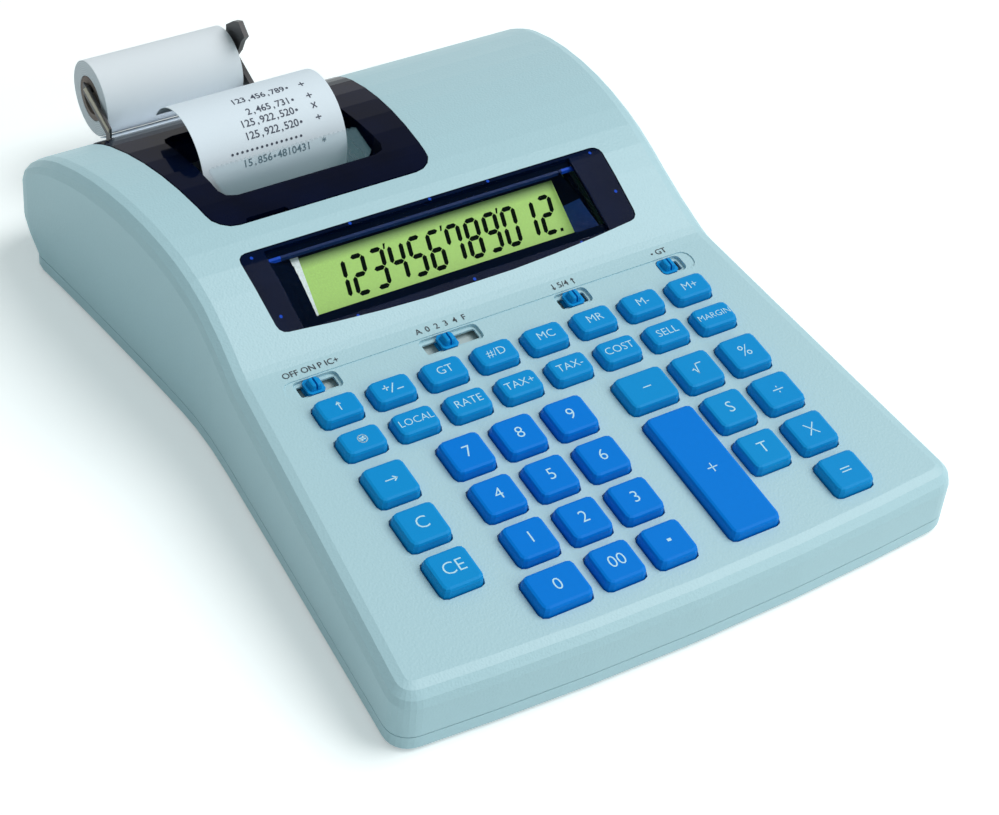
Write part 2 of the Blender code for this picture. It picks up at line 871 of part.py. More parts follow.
def rear_openings():
    """Openings for the paper, the inlet and the holder's tabs."""
    pieces = []
    slot = [Vector((slot_half_width, slot_place + side * slot_half_depth)) for side in (-1, 1)]
    slot_top = crown(slot_place - slot_half_depth)[0] + overrun
    pieces.append(plumb_body(slot, holder_bar_high, slot_top, paper_middle))
    pieces.append(rod(inlet_radius, (inlet_place, body_length - rear_tuck, inlet_height),
                      (inlet_place, body_length + overrun, inlet_height), 16))
    for x in holder_tab_places():
        pieces.append(block((tab_width + 2 * touch_gap, tab_reach * 3, tab_height + 2 * touch_gap),
                            (x, body_length, (holder_bar_low + holder_bar_high) / 2)))
    return joined(pieces, "rear_openings")


def lower_body(depth, floor, rim):
    """The lower tray as a full body, its surface moved inward by a depth."""
    plan = housing_plan()
    rings = []
    for height, inset, tuck_share in ((floor, belly_inset, 1.35), (floor + belly_inset / 4, belly_inset / 4, 1.1),
                                      (floor + belly_inset, 0.0, 1.0), (rim, 0.0, 1.0)):
        outline = inset_plan(plan, depth + inset, rear_tuck * tuck_share)
        rings.append(ring_around(outline, lambda y, level=height: level))
    return loft(rings)


def build_bottom_shell(parts, guides, base, materials):
    """The lower tray with its rounded belly, feet seats, bosses, vents and screw holes."""
    mesh = mesh_from(lower_body(0.0, floor_height, seam_height), "bottom_shell")
    mesh.materials.append(materials["housing"])
    shell = add_object("bottom_shell", mesh, parts, base)
    hollow = mesh_from(lower_body(wall, floor_height + wall, seam_height + overrun), "tray_hollow")
    combine(shell, add_cutter("tray_hollow", hollow, guides, base), "DIFFERENCE")
    combine(shell, add_cutter("tray_posts", tray_posts(), guides, base), "UNION")
    combine(shell, add_cutter("tray_cuts", tray_cuts(), guides, base), "DIFFERENCE")
    combine(shell, add_cutter("screw_seats", screw_seats(), guides, base), "DIFFERENCE")


def frame_post_points():
    """Posts of the tray that carry the printer frame."""
    reach = platen_half_length + journal_length / 2
    inset = frame_plate + boss_radius
    return [(paper_middle + side * (reach - inset), y)
            for side in (-1, 1) for y in (frame_front + inset, frame_rear - inset)]


def tray_posts():
    """Screw bosses and the posts under the printer frame."""
    pieces = []
    floor = floor_height + wall / 2
    for x, y in screw_points():
        pieces.append(rod(boss_radius + screw_radius, (x, y, floor), (x, y, seam_height), 12))
    for x, y in frame_post_points():
        pieces.append(rod(boss_radius, (x, y, floor), (x, y, frame_floor_height - touch_gap), 10))
    return joined(pieces, "tray_posts")


def tray_cuts():
    """Screw holes, vents and the seats of the feet."""
    pieces = []
    for x, y in screw_points():
        pieces.append(rod(screw_radius, (x, y, 0), (x, y, seam_height + overrun), 10))
    for index in range(vent_count):
        x = (index - (vent_count - 1) / 2) * vent_pitch
        pieces.append(rounded_block((vent_width, vent_length, 2 * wall + 2 * overrun),
                                    (x, vent_place, floor_height + wall), vent_width * 0.45, segments=1))
    for place in (front_foot_place, rear_foot_place):
        pieces.append(rounded_block((foot_length + 2 * touch_gap, foot_width + 2 * touch_gap, 2 * foot_seat),
                                    (0, place, floor_height), foot_width * 0.4))
    return joined(pieces, "tray_cuts")


def screw_seats():
    """The sunk seats of the screws' heads."""
    pieces = [rod(screw_head_radius, (x, y, 0), (x, y, floor_height + screw_head_depth), 12)
              for x, y in screw_points()]
    return joined(pieces, "screw_seats")


def build_feet(parts, base, materials):
    """Two rubber strips under the tray."""
    height = floor_height + foot_seat - touch_gap
    for name, place in (("front_foot", front_foot_place), ("rear_foot", rear_foot_place)):
        bm = rounded_block((foot_length, foot_width, height), (0, 0, height / 2), foot_width * 0.4)
        mesh = mesh_from(bm, name)
        mesh.materials.append(materials["rubber"])
        add_object(name, mesh, parts, base, (0, place, 0))


# Display

def build_display(parts, base, materials):
    """The smoked window and the display panel behind it."""
    bm = draped_plate(window_outline(0.0), window_recess, window_recess + window_thickness)
    mesh = mesh_from(bm, "display_window")
    mesh.materials.append(materials["smoke"])
    add_object("display_window", mesh, parts, base)
    bm = rounded_block((2 * lcd_half_length, lcd_height, lcd_thickness), (0, 0, -lcd_thickness / 2),
                       lcd_thickness / 3, segments=1)
    mesh = mesh_from(bm, "lcd_panel")
    mesh.materials.append(materials["lcd"])
    height = under_crown(lcd_middle_place, lcd_depth)
    add_object("lcd_panel", mesh, parts, base, (0, lcd_middle_place, height), (lcd_slope, 0, 0))


# Printer cover

def hopper_body(grow, top_at, bottom):
    """The funnel between the cover's surface and its throat."""
    upper = plate_outline(hopper_front - grow, hopper_rear + grow, lambda y: hopper_half_width + grow,
                          hopper_corner + grow, hopper_corner + grow, 2)
    scale = (throat_rear - throat_front + 2 * grow) / (hopper_rear - hopper_front + 2 * grow)
    lower = []
    for point in upper:
        lower.append(Vector((point.x, throat_front - grow + (point.y - hopper_front + grow) * scale)))
    rings = [
        ring_around(lower, lambda y: bottom, hopper_middle),
        ring_around(upper, lambda y: under_crown(y, hopper_rim_depth), hopper_middle),
        ring_around(upper, top_at, hopper_middle),
    ]
    return loft(rings)


def hinge_plate(radius, buried, low_x, high_x):
    """A plate with a round lower end about the hinge axis, rising into the surface above it."""
    points = []
    for step in range(9):
        angle = math.pi + math.pi * step / 8
        points.append((cover_hinge_place + radius * math.cos(angle),
                       cover_hinge_height + radius * math.sin(angle)))
    for side in (1, -1):
        y = cover_hinge_place + side * radius
        points.append((y, under_crown(y, buried)))
    return side_profile(points, low_x, high_x)


def hinge_ear_reach():
    """Distance from the cover's middle to the outer face of an ear."""
    return cover_width(cover_hinge_place) - hinge_ear_setback


def hinge_socket_reach():
    """Distance from the cover's middle to the inner face of a socket, beside the opening."""
    return cover_width(cover_hinge_place + hinge_socket_radius) + moving_gap + touch_gap


def hinge_ears():
    """The cover's two ears and the pins that it turns on."""
    pieces = []
    outer = hinge_ear_reach()
    tip = hinge_socket_reach() + hinge_ear_thickness
    for side in (-1, 1):
        pieces.append(hinge_plate(hinge_ear_radius, cover_thickness / 2, cover_middle + side * outer,
                                  cover_middle + side * (outer - hinge_ear_thickness)))
    pins = []
    for side in (-1, 1):
        start = (cover_middle + side * (outer - hinge_ear_thickness / 2), cover_hinge_place, cover_hinge_height)
        end = (cover_middle + side * tip, cover_hinge_place, cover_hinge_height)
        pins.append(rod(hinge_pin_radius, start, end, 12))
    return joined(pieces, "hinge_ears"), joined(pins, "hinge_pins")


def hinge_sockets():
    """The plates under the housing that hold the cover's pins."""
    pieces = []
    inner = hinge_socket_reach()
    for side in (-1, 1):
        pieces.append(hinge_plate(hinge_socket_radius, wall / 2, cover_middle + side * inner,
                                  cover_middle + side * (inner + hinge_ear_thickness)))
    return joined(pieces, "hinge_sockets")


def hinge_pin_hole():
    """The bore that the cover's pins turn in."""
    reach = hinge_socket_reach() + hinge_ear_thickness + overrun
    return joined([rod(hinge_pin_radius + touch_gap,
                       (cover_middle - reach, cover_hinge_place, cover_hinge_height),
                       (cover_middle + reach, cover_hinge_place, cover_hinge_height), 12)], "hinge_pin_hole")


def build_cover(parts, guides, base, materials):
    """The hinged printer cover with its hopper; its origin is on the hinge axis."""
    hinge = Vector((cover_middle, cover_hinge_place, cover_hinge_height))
    bm = draped_plate(cover_outline(0.0), -cover_raise, cover_thickness, cover_middle)
    bmesh.ops.translate(bm, vec=-hinge, verts=bm.verts)
    mesh = mesh_from(bm, "printer_cover")
    mesh.materials.append(materials["smoke"])
    cover = add_object("printer_cover", mesh, parts, base, hinge)
    outer = hopper_body(hopper_wall, lambda y: under_crown(y, cover_thickness / 2), hopper_bottom)
    combine(cover, add_cutter("hopper_walls", joined([outer], "hopper_walls"), guides, base), "UNION")
    ears, pins = hinge_ears()
    combine(cover, add_cutter("hinge_ears", ears, guides, base), "UNION")
    combine(cover, add_cutter("hinge_pins", pins, guides, base), "UNION")
    inner = hopper_body(0.0, lambda y: crown(y)[0] + overrun, hopper_bottom - overrun / 4)
    notch = rounded_block((finger_notch_length, 2 * finger_notch_depth, 4 * cover_thickness),
                          (finger_notch_place, cover_front, crown(cover_front)[0]), finger_notch_depth / 2, 1)
    combine(cover, add_cutter("hopper_hollow", joined([inner, notch], "hopper_hollow"), guides, base), "DIFFERENCE")


def build_tear_bar(parts, base, materials):
    """The clear bar with a toothed edge across the hopper, just before the paper."""
    front = hopper_front + touch_gap
    half = paper_width / 2 + tear_bar_margin
    tilt = math.atan2(tear_bar_rise, tear_bar_length)
    slant = tear_bar_length / math.cos(tilt)
    teeth = int(paper_width / tooth_pitch)
    points = [(-half, tear_bar_corner), (-half + tear_bar_corner, 0),
              (half - tear_bar_corner, 0), (half, tear_bar_corner)]
    points.append((half, slant - tooth_depth))
    for index in range(teeth, -1, -1):
        x = (index / teeth - 0.5) * paper_width
        points.append((x, slant - tooth_depth))
        if index > 0:
            points.append((x - paper_width / teeth / 2, slant))
    points.append((-half, slant - tooth_depth))
    curve = bpy.data.curves.new("tear_bar", "CURVE")
    curve.dimensions = "2D"
    curve.fill_mode = "BOTH"
    curve.extrude = tear_bar_thickness / 2
    spline = curve.splines.new("POLY")
    spline.points.add(len(points) - 1)
    for target, (x, y) in zip(spline.points, points):
        target.co = (x, y, 0, 1)
    spline.use_cyclic_u = True
    curve.materials.append(materials["clear"])
    height = crown(hopper_front)[0] - tear_bar_thickness
    bar = bpy.data.objects.new("tear_bar", curve)
    parts.objects.link(bar)
    bar.parent = base
    bar.location = (paper_middle, front, height)
    bar.rotation_euler = (tilt, 0, 0)
    return bar


# Printer

def build_printer(parts, guides, base, materials):
    """The frame with its side plates and print head, and the platen roller."""
    reach = platen_half_length + journal_length / 2 + frame_plate
    floor = block((2 * reach, frame_rear - frame_front, frame_plate),
                  (paper_middle, (frame_front + frame_rear) / 2, frame_floor_height + frame_plate / 2))
    mesh = mesh_from(floor, "printer_frame")
    mesh.materials.append(materials["frame"])
    frame = add_object("printer_frame", mesh, parts, base)
    rise = frame_top - frame_floor_height
    pieces = []
    for side in (-1, 1):
        x = paper_middle + side * (reach - frame_plate / 2)
        outline = ((frame_front, frame_floor_height), (frame_rear, frame_floor_height),
                   (frame_rear, frame_floor_height + rise * 0.55), (platen_place + platen_radius, frame_top),
                   (head_rail_place, frame_top), (frame_front, frame_floor_height + rise * 0.6))
        pieces.append(side_profile(outline, x - frame_plate / 2, x + frame_plate / 2))
    combine(frame, add_cutter("frame_sides", joined(pieces, "frame_sides"), guides, base), "UNION")
    rail = rod(head_rail_radius, (paper_middle - reach + frame_plate / 2, head_rail_place, head_rail_height),
               (paper_middle + reach - frame_plate / 2, head_rail_place, head_rail_height), 12)
    combine(frame, add_cutter("head_rail", joined([rail], "head_rail"), guides, base), "UNION")
    head = rounded_block((head_width, head_depth, head_height),
                         (paper_middle + platen_half_length / 2, head_rail_place, head_rail_height),
                         head_width / 10, segments=1)
    combine(frame, add_cutter("print_head", joined([head], "print_head"), guides, base), "UNION")
    holes = [rod(journal_radius + touch_gap, (paper_middle - reach - overrun, platen_place, platen_height),
                 (paper_middle + reach + overrun, platen_place, platen_height), 16)]
    combine(frame, add_cutter("journal_holes", joined(holes, "journal_holes"), guides, base), "DIFFERENCE")
    build_platen(parts, guides, base, materials)


def build_platen(parts, guides, base, materials):
    """The rubber platen roller with a journal at each end; its origin is on its axis."""
    profile = [(0, -platen_half_length - journal_length), (journal_radius, -platen_half_length - journal_length),
               (journal_radius, -platen_half_length), (platen_radius, -platen_half_length),
               (platen_radius, platen_half_length), (journal_radius, platen_half_length),
               (journal_radius, platen_half_length + journal_length), (0, platen_half_length + journal_length)]
    platen = turned("platen_roller", profile, 20)
    platen.data.materials.append(materials["rubber"])
    parts.objects.link(platen)
    platen.parent = base
    platen.location = (paper_middle, platen_place, platen_height)
    platen.rotation_euler = (0, math.radians(90), 0)


def turned(name, profile, steps):
    """A body turned about its own z axis from a profile of radii and heights."""
    bm = bmesh.new()
    verts = [bm.verts.new((radius, 0, height)) for radius, height in reversed(profile)]
    for first, second in zip(verts, verts[1:]):
        bm.edges.new((first, second))
    if profile[0][0] > 0:
        bm.edges.new((verts[-1], verts[0]))
    mesh = bpy.data.meshes.new(name)
    bm.to_mesh(mesh)
    bm.free()
    thing = bpy.data.objects.new(name, mesh)
    screw = thing.modifiers.new("Turn", "SCREW")
    screw.steps = steps
    screw.render_steps = steps
    screw.use_merge_vertices = True
    screw.merge_threshold = 0.00001
    screw.use_smooth_shade = True
    return thing


# Paper

def tangent_corner(start, centre, radius, wall_y):
    """Where the line from a point under a circle meets an upright line at its side."""
    away = Vector((centre[0] - start[0], centre[1] - start[1]))
    bearing = math.atan2(away.y, away.x) + math.asin(radius / away.length)
    run = wall_y - start[0]
    return wall_y, start[1] + run * math.tan(bearing)


def rounded_route(points, radii, steps=6):
    """Points of a route with its inner corners rounded."""
    route = [Vector(points[0])]
    for index in range(1, len(points) - 1):
        corner = Vector(points[index])
        back = (Vector(points[index - 1]) - corner).normalized()
        ahead = (Vector(points[index + 1]) - corner).normalized()
        half = back.angle(ahead) / 2
        centre = corner + (back + ahead).normalized() * (radii[index - 1] / math.sin(half))
        start = corner + back * (radii[index - 1] / math.tan(half)) - centre
        sweep = math.pi - 2 * half
        turn = 1 if back.y * ahead.x - back.x * ahead.y > 0 else -1
        for step in range(steps + 1):
            angle = turn * sweep * step / steps
            route.append(centre + Vector((start.x * math.cos(angle) - start.y * math.sin(angle),
                                          start.x * math.sin(angle) + start.y * math.cos(angle))))
    route.append(Vector(points[-1]))
    return route


def paper_route():
    """Side view of the paper from the roll, under the platen and out to its curl."""
    offset = touch_gap + paper_thickness / 2
    rise_y = platen_place - platen_radius - offset
    slot = (slot_place, crown(slot_place)[0] - wall / 2)
    away = Vector((roll_place - slot[0], roll_height - slot[1]))
    reach = roll_radius + offset
    bearing = math.atan2(away.y, away.x) - math.asin(reach / away.length)
    run = math.sqrt(away.length_squared - reach * reach)
    start = (slot[0] + run * math.cos(bearing), slot[1] + run * math.sin(bearing))
    corner = tangent_corner(slot, (platen_place, platen_height), platen_radius + offset, rise_y)
    route = rounded_route([start, slot, corner, (rise_y, curl_height)],
                          [paper_bend_radius, platen_radius + offset], 8)
    steps = 16
    for step in range(1, steps + 1):
        angle = math.radians(180 - (180 - curl_end_degrees) * step / steps)
        route.append(Vector((rise_y + curl_radius + curl_radius * math.cos(angle),
                             curl_height + curl_radius * math.sin(angle))))
    return route


def build_paper(parts, base, materials):
    """The paper strip, the roll and its core."""
    bm = bmesh.new()
    half = paper_width / 2
    line = [bm.verts.new((-half, point.x, point.y)) for point in paper_route()]
    edges = [bm.edges.new((first, second)) for first, second in zip(line, line[1:])]
    grown = bmesh.ops.extrude_edge_only(bm, edges=edges)
    moved = [item for item in grown["geom"] if isinstance(item, bmesh.types.BMVert)]
    bmesh.ops.translate(bm, vec=(paper_width, 0, 0), verts=moved)
    mesh = mesh_from(bm, "paper_strip")
    mesh.materials.append(materials["paper"])
    strip = add_object("paper_strip", mesh, parts, base, (paper_middle, 0, 0))
    modifier = strip.modifiers.new("Thickness", "SOLIDIFY")
    modifier.thickness = paper_thickness
    modifier.offset = 0.0
    inner = core_radius + touch_gap
    for name, bore, radius, kind in (("paper_roll", inner, roll_radius, "paper"),
                                     ("paper_core", core_bore_radius, core_radius, "core")):
        profile = [(bore, -half), (radius, -half), (radius, half), (bore, half)]
        thing = turned(name, profile, 36)
        thing.data.materials.append(materials[kind])
        parts.objects.link(thing)
        thing.parent = base
        thing.location = (paper_middle, roll_place, roll_height)
        thing.rotation_euler = (0, math.radians(90), 0)


# Roll holder

def holder_tab_places():
    """Where the holder's two tabs enter the rear wall."""
    reach = paper_width / 2 + holder_side_gap - tab_width / 2
    return [paper_middle - reach, paper_middle + reach]


def build_holder(parts, guides, base, materials):
    """The roll holder: a crossbar with two tabs, two arms and the pins that the core hangs on."""
    reach = paper_width / 2 + holder_side_gap
    pin_height = roll_height + core_bore_radius - pin_radius - touch_gap
    bar_middle = (holder_bar_low + holder_bar_high) / 2
    bar = block((2 * reach + holder_plate, holder_bar_rear - holder_bar_front, holder_bar_high - holder_bar_low),
                (paper_middle, (holder_bar_front + holder_bar_rear) / 2, bar_middle))
    mesh = mesh_from(bar, "roll_holder")
    mesh.materials.append(materials["holder"])
    holder = add_object("roll_holder", mesh, parts, base)
    pieces = []
    for x in holder_tab_places():
        pieces.append(block((tab_width, tab_reach, tab_height),
                            (x, holder_bar_front - tab_reach / 2 + touch_gap, bar_middle)))
    combine(holder, add_cutter("holder_tabs", joined(pieces, "holder_tabs"), guides, base), "UNION")
    arms = [side_profile(arm_outline(False, pin_height), paper_middle - reach - holder_plate, paper_middle - reach),
            side_profile(arm_outline(True, pin_height), paper_middle + reach, paper_middle + reach + holder_plate)]
    combine(holder, add_cutter("holder_arms", joined(arms, "holder_arms"), guides, base), "UNION")
    inner = reach - pin_length
    outer = reach + holder_plate / 2
    pins = [rod(pin_radius, (paper_middle + side * inner, roll_place, pin_height),
                (paper_middle + side * outer, roll_place, pin_height), 10) for side in (-1, 1)]
    combine(holder, add_cutter("holder_pins", joined(pins, "holder_pins"), guides, base), "UNION")


def arm_outline(with_ear, pin_height):
    """Side view of a holder arm from the crossbar to its pin, with a guide ear on one side."""
    tip = roll_place + 2 * pin_radius
    front = holder_bar_front - touch_gap
    rear = holder_bar_rear + touch_gap
    points = [(front, holder_bar_low - touch_gap), (rear, holder_bar_low - touch_gap),
              (rear, arm_elbow_height - arm_half_height),
              (tip, pin_height - arm_half_height), (tip, pin_height + arm_half_height)]
    if with_ear:
        for ahead, above in ear_shares:
            points.append((roll_place - ahead * ear_reach, pin_height + above * ear_rise))
    else:
        points.append((roll_place - pin_radius, pin_height + 2 * arm_half_height))
    points.append((front, arm_elbow_height + arm_half_height))
    return points


# Contact mat and circuit board

def build_board(parts, deck, materials):
    """The rubber contact mat and the circuit board under the keys."""
    bm = rounded_block((2 * mat_half_width, mat_rear - mat_front, mat_thickness),
                       (0, (mat_front + mat_rear) / 2, mat_top - mat_thickness / 2), key_corner)
    mesh = mesh_from(bm, "key_mat")
    mesh.materials.append(materials["rubber"])
    add_object("key_mat", mesh, parts, deck)
    top = mat_top - mat_thickness - touch_gap
    bm = rounded_block((2 * board_half_width, board_rear - mat_front, board_thickness),
                       (0, (mat_front + board_rear) / 2, top - board_thickness / 2), key_corner)
    mesh = mesh_from(bm, "main_board")
    mesh.materials.append(materials["board"])
    add_object("main_board", mesh, parts, deck)


def main():
    """Builds the calculator."""
    clear_scene()
    parts = make_collection("printing_calculator")
    guides = make_collection("guides")
    materials = {
        "housing": make_material("housing", (0.60, 0.70, 0.70), 0.45),
        "function_key": make_material("function_key", (0.05, 0.27, 0.62), 0.30),
        "number_key": make_material("number_key", (0.0, 0.18, 0.65), 0.30),
        "smoke": make_material("smoke", (0.004, 0.008, 0.03), 0.12),
        "clear": make_material("clear", (0.70, 0.85, 0.88), 0.10, alpha=0.4),
        "lcd": make_material("lcd", (0.32, 0.56, 0.13), 0.35),
        "paper": make_material("paper", (0.85, 0.88, 0.90), 0.80),
        "core": make_material("core", (0.25, 0.20, 0.17), 0.85),
        "rubber": make_material("rubber", (0.03, 0.03, 0.03), 0.75),
        "frame": make_material("frame", (0.10, 0.10, 0.11), 0.50),
        "holder": make_material("holder", (0.05, 0.05, 0.05), 0.40),
        "board": make_material("board", (0.05, 0.20, 0.10), 0.50),
    }
    base = add_empty("base", parts, None, (0, front_reach - overall_length / 2, 0))
    deck = add_empty("deck", parts, base, (0, 0, deck_front_height), (deck_slope, 0, 0))
    build_top_shell(parts, guides, base, deck, materials)
    build_bottom_shell(parts, guides, base, materials)
    build_feet(parts, base, materials)
    build_keys(parts, deck, materials)
    build_sliders(parts, guides, deck, materials)
    build_display(parts, base, materials)
    build_cover(parts, guides, base, materials)
    build_tear_bar(parts, base, materials)
    build_printer(parts, guides, base, materials)
    build_paper(parts, base, materials)
    build_holder(parts, guides, base, materials)
    build_board(parts, deck, materials)


main()
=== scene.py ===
"""The looks of a desktop printing calculator with its paper roll.

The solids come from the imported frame. This script gives them their finishes and adds the
legends, the figures on the display, the display's well, the printed strip and the stage.
Lengths are in metres. Places are measured from the front of the housing: x to the right of its
middle, y to the rear and z up from the table.
"""
import math

import bmesh
import bpy
from mathutils import Matrix, Vector


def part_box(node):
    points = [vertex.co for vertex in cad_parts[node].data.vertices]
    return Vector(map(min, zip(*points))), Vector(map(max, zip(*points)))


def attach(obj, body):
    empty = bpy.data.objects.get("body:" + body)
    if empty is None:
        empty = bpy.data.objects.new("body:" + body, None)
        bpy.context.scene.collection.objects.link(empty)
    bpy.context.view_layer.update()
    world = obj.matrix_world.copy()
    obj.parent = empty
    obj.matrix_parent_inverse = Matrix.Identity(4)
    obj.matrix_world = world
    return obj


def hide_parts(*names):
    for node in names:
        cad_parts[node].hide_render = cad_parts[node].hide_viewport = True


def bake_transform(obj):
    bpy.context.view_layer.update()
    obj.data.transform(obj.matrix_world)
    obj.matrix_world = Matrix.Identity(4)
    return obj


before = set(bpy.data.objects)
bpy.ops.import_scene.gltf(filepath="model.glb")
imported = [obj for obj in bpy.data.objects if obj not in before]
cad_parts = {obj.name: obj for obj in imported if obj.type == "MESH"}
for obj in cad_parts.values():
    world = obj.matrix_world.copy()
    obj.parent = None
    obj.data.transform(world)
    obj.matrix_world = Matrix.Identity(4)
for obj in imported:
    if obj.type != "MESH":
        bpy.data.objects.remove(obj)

bl_info = {
    "name": "Printing calculator",
    "version": (1, 0, 0),
    "blender": (4, 5, 0),
    "location": "3D View, Sidebar, Calculator",
    "description": "Dresses the printing calculator and sets its stage",
    "category": "Add Mesh",
}

# Frame of the housing
front_reach = 0.0010
deck_front_height = 0.0243
deck_slope = math.radians(7.5)
# each run of the crown: its length and the slope in degrees at its end
crown_runs = ((0.1325, 7.5), (0.006, 24.0), (0.0245, 24.0), (0.027, 7.0), (0.068, -21.0), (0.034, -62.0))
front_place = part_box("top_shell")[0].y + front_reach

# Camera
camera_place = (-0.38531, -0.40054, 0.57033)
camera_right = (0.8415, -0.5337, 0.0836)
camera_down = (-0.2998, -0.5901, -0.7495)
camera_ahead = (0.4494, 0.6057, -0.6567)
camera_lens = 88.70

# Light
lamp_degrees = 40
lamp_heading = (-0.62, 0.16, -1.0)
sky_colour = (0.80, 0.98, 1.0, 1.0)
floor_glow = 0.30

# Keys
key_height = 0.0037
small_pitch = 0.0201
row_a = 0.1121
row_b = 0.0967
rows = (0.0197, 0.0391, 0.05855, 0.0780)
left_column = -0.07035
digit_columns = (-0.0418, -0.0217, -0.0016)
plus_column = 0.0291
root_column = 0.0503
right_column = 0.0704
zero_column = -0.0440
film = 0.00003
print_lift = 2.5 * film

# Switches
switch_place = 0.1262
slot_places = (-0.07005, -0.01855, 0.03115, 0.0729)

# Display
lcd_place = 0.1652
lcd_depth = 0.0087
lcd_slope = math.radians(33.2)
lcd_half_height = 0.0125
well_front = 0.1462
well_rear = 0.1752
well_left = -0.0640
well_right = 0.0600
cheek_front = 0.0582
cheek_rear = 0.0540
window_front = 0.1430
window_rear = 0.1762
figure_height = 0.0132
figure_width = 0.0046
figure_pitch = 0.00772
figure_stroke = 0.0017
rib_place = 0.1476

# Paper and roll
paper_middle = -0.0340
paper_width = 0.0573
paper_thickness = 0.00025
platen_place = 0.22683
platen_height = 0.0440
platen_radius = 0.0060
slot_place = 0.2822
roll_place = 0.3136
roll_height = 0.0346
roll_radius = 0.0147
core_radius = 0.0086
curl_height = 0.0525
curl_radius = 0.0200
curl_end_degrees = 28.0
bend_radius = 0.0080
print_pitch = 0.00195
mark_column = -0.0144
fit_gap = 0.0003
wall = 0.0024

# Screw bosses and roll holder
boss_places = ((0.0840, 0.1460), (0.0930, 0.2570))
boss_radius = 0.0038
holder_side_gap = 0.0010
holder_plate = 0.0020
pin_rise = 0.0043
bar_front = 0.2928
bar_rear = 0.2962
bar_low = 0.0165
bar_high = 0.0225
elbow_height = 0.0320


class CalculatorSettings(bpy.types.PropertyGroup):
    """What can be set before the pieces are made."""
    grain_size: bpy.props.FloatProperty(
        name="Grain size", description="Size of one cell of the housing's grain",
        default=0.00075, subtype="DISTANCE", unit="LENGTH")
    grain_depth: bpy.props.FloatProperty(
        name="Grain depth", description="Depth of the housing's grain",
        default=0.00007, subtype="DISTANCE", unit="LENGTH")
    legend_height: bpy.props.FloatProperty(
        name="Legend height", description="Height of a capital on a full-size key",
        default=0.0046, subtype="DISTANCE", unit="LENGTH")
    print_height: bpy.props.FloatProperty(
        name="Print height", description="Height of a figure printed on the strip",
        default=0.0027, subtype="DISTANCE", unit="LENGTH")
    lamp_strength: bpy.props.FloatProperty(
        name="Lamp strength", description="Strength of the key lamp", default=1.78, min=0.0)
    sky_strength: bpy.props.FloatProperty(
        name="Sky strength", description="Strength of the light from all round", default=0.33, min=0.0)
    rib_count: bpy.props.IntProperty(
        name="Ribs", description="Number of ribs in front of the display", default=44, min=1)


# Shape of the housing

def crown(y):
    """Height and slope angle of the housing's top surface at a distance from its front."""
    place = 0.0
    height = deck_front_height
    sine = math.sin(deck_slope)
    for run, end_degrees in crown_runs:
        end_sine = math.sin(math.radians(end_degrees))
        reach = min(y - place, run)
        if abs(end_sine - sine) < 1e-6:
            here = sine
            rise = reach * sine / math.sqrt(1 - sine * sine)
        else:
            radius = run / (sine - end_sine)
            here = sine - reach / radius
            rise = radius * (math.sqrt(1 - here * here) - math.sqrt(1 - sine * sine))
        height += rise
        if y - place <= run:
            return height, math.asin(here)
        place += run
        sine = end_sine
    return height, math.asin(sine)


def crown_point(x, y, height=0.0):
    """A point a little above the housing's top surface."""
    level, slope = crown(y)
    return Vector((x, front_place + y, level + height / math.cos(slope)))


def deck_point(x, s, height=0.0):
    """A point over the deck; s runs up its slope."""
    y = s * math.cos(deck_slope) - height * math.sin(deck_slope)
    z = deck_front_height + s * math.sin(deck_slope) + height * math.cos(deck_slope)
    return Vector((x, front_place + y, z))


def lcd_point(x, v, height=0.0):
    """A point over the display panel; v runs up its slope from its middle."""
    level, slope = crown(lcd_place)
    z = level - lcd_depth / math.cos(slope) + v * math.sin(lcd_slope) + height * math.cos(lcd_slope)
    y = lcd_place + v * math.cos(lcd_slope) - height * math.sin(lcd_slope)
    return Vector((x, front_place + y, z))


# Meshes

def add_piece(name, bm, materials, body="housing", smooth=False):
    """Turns a bmesh into a piece that rides on a body."""
    mesh = bpy.data.meshes.new(name)
    bm.to_mesh(mesh)
    bm.free()
    if smooth:
        mesh.shade_smooth()
        mesh.set_sharp_from_angle(angle=math.radians(40))
    for material in materials:
        mesh.materials.append(material)
    piece = bpy.data.objects.new(name, mesh)
    bpy.context.scene.collection.objects.link(piece)
    if body:
        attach(piece, body)
    return piece


def add_flat(bm, shapes, place, index=0):
    """Adds flat polygons, each point put in place by a function of its two coordinates."""
    for shape in shapes:
        corners = [bm.verts.new(place(x, y)) for x, y in shape]
        bm.faces.new(corners).material_index = index


def text_shapes(text, height, weight=-0.008):
    """Flat polygons of a line of text, centred, with capitals of a given height."""
    curve = bpy.data.curves.new("text", "FONT")
    curve.body = text
    curve.align_x = "CENTER"
    curve.align_y = "CENTER"
    curve.resolution_u = 3
    curve.offset = weight
    thing = bpy.data.objects.new("text", curve)
    mesh = bpy.data.meshes.new_from_object(thing)
    scale = height / 0.70
    shapes = []
    for polygon in mesh.polygons:
        points = [mesh.vertices[index].co * scale for index in polygon.vertices]
        shapes.append([(point.x, point.y) for point in points])
    bpy.data.objects.remove(thing)
    bpy.data.curves.remove(curve)
    bpy.data.meshes.remove(mesh)
    return shapes


def stroke_shapes(lines, height, width):
    """Flat polygons of drawn lines whose coordinates are shares of a height."""
    shapes = []
    for line in lines:
        for start, end in zip(line, line[1:]):
            a = Vector(start) * height
            b = Vector(end) * height
            along = (b - a).normalized() * (width / 2)
            side = Vector((-along.y, along.x))
            corners = (a - along - side, b + along - side, b + along + side, a - along + side)
            shapes.append([tuple(corner) for corner in corners])
    return shapes


def dot_shape(x, y, radius, sides=12):
    """A flat round dot."""
    turns = [2 * math.pi * step / sides for step in range(sides)]
    return [(x + radius * math.cos(turn), y + radius * math.sin(turn)) for turn in turns]


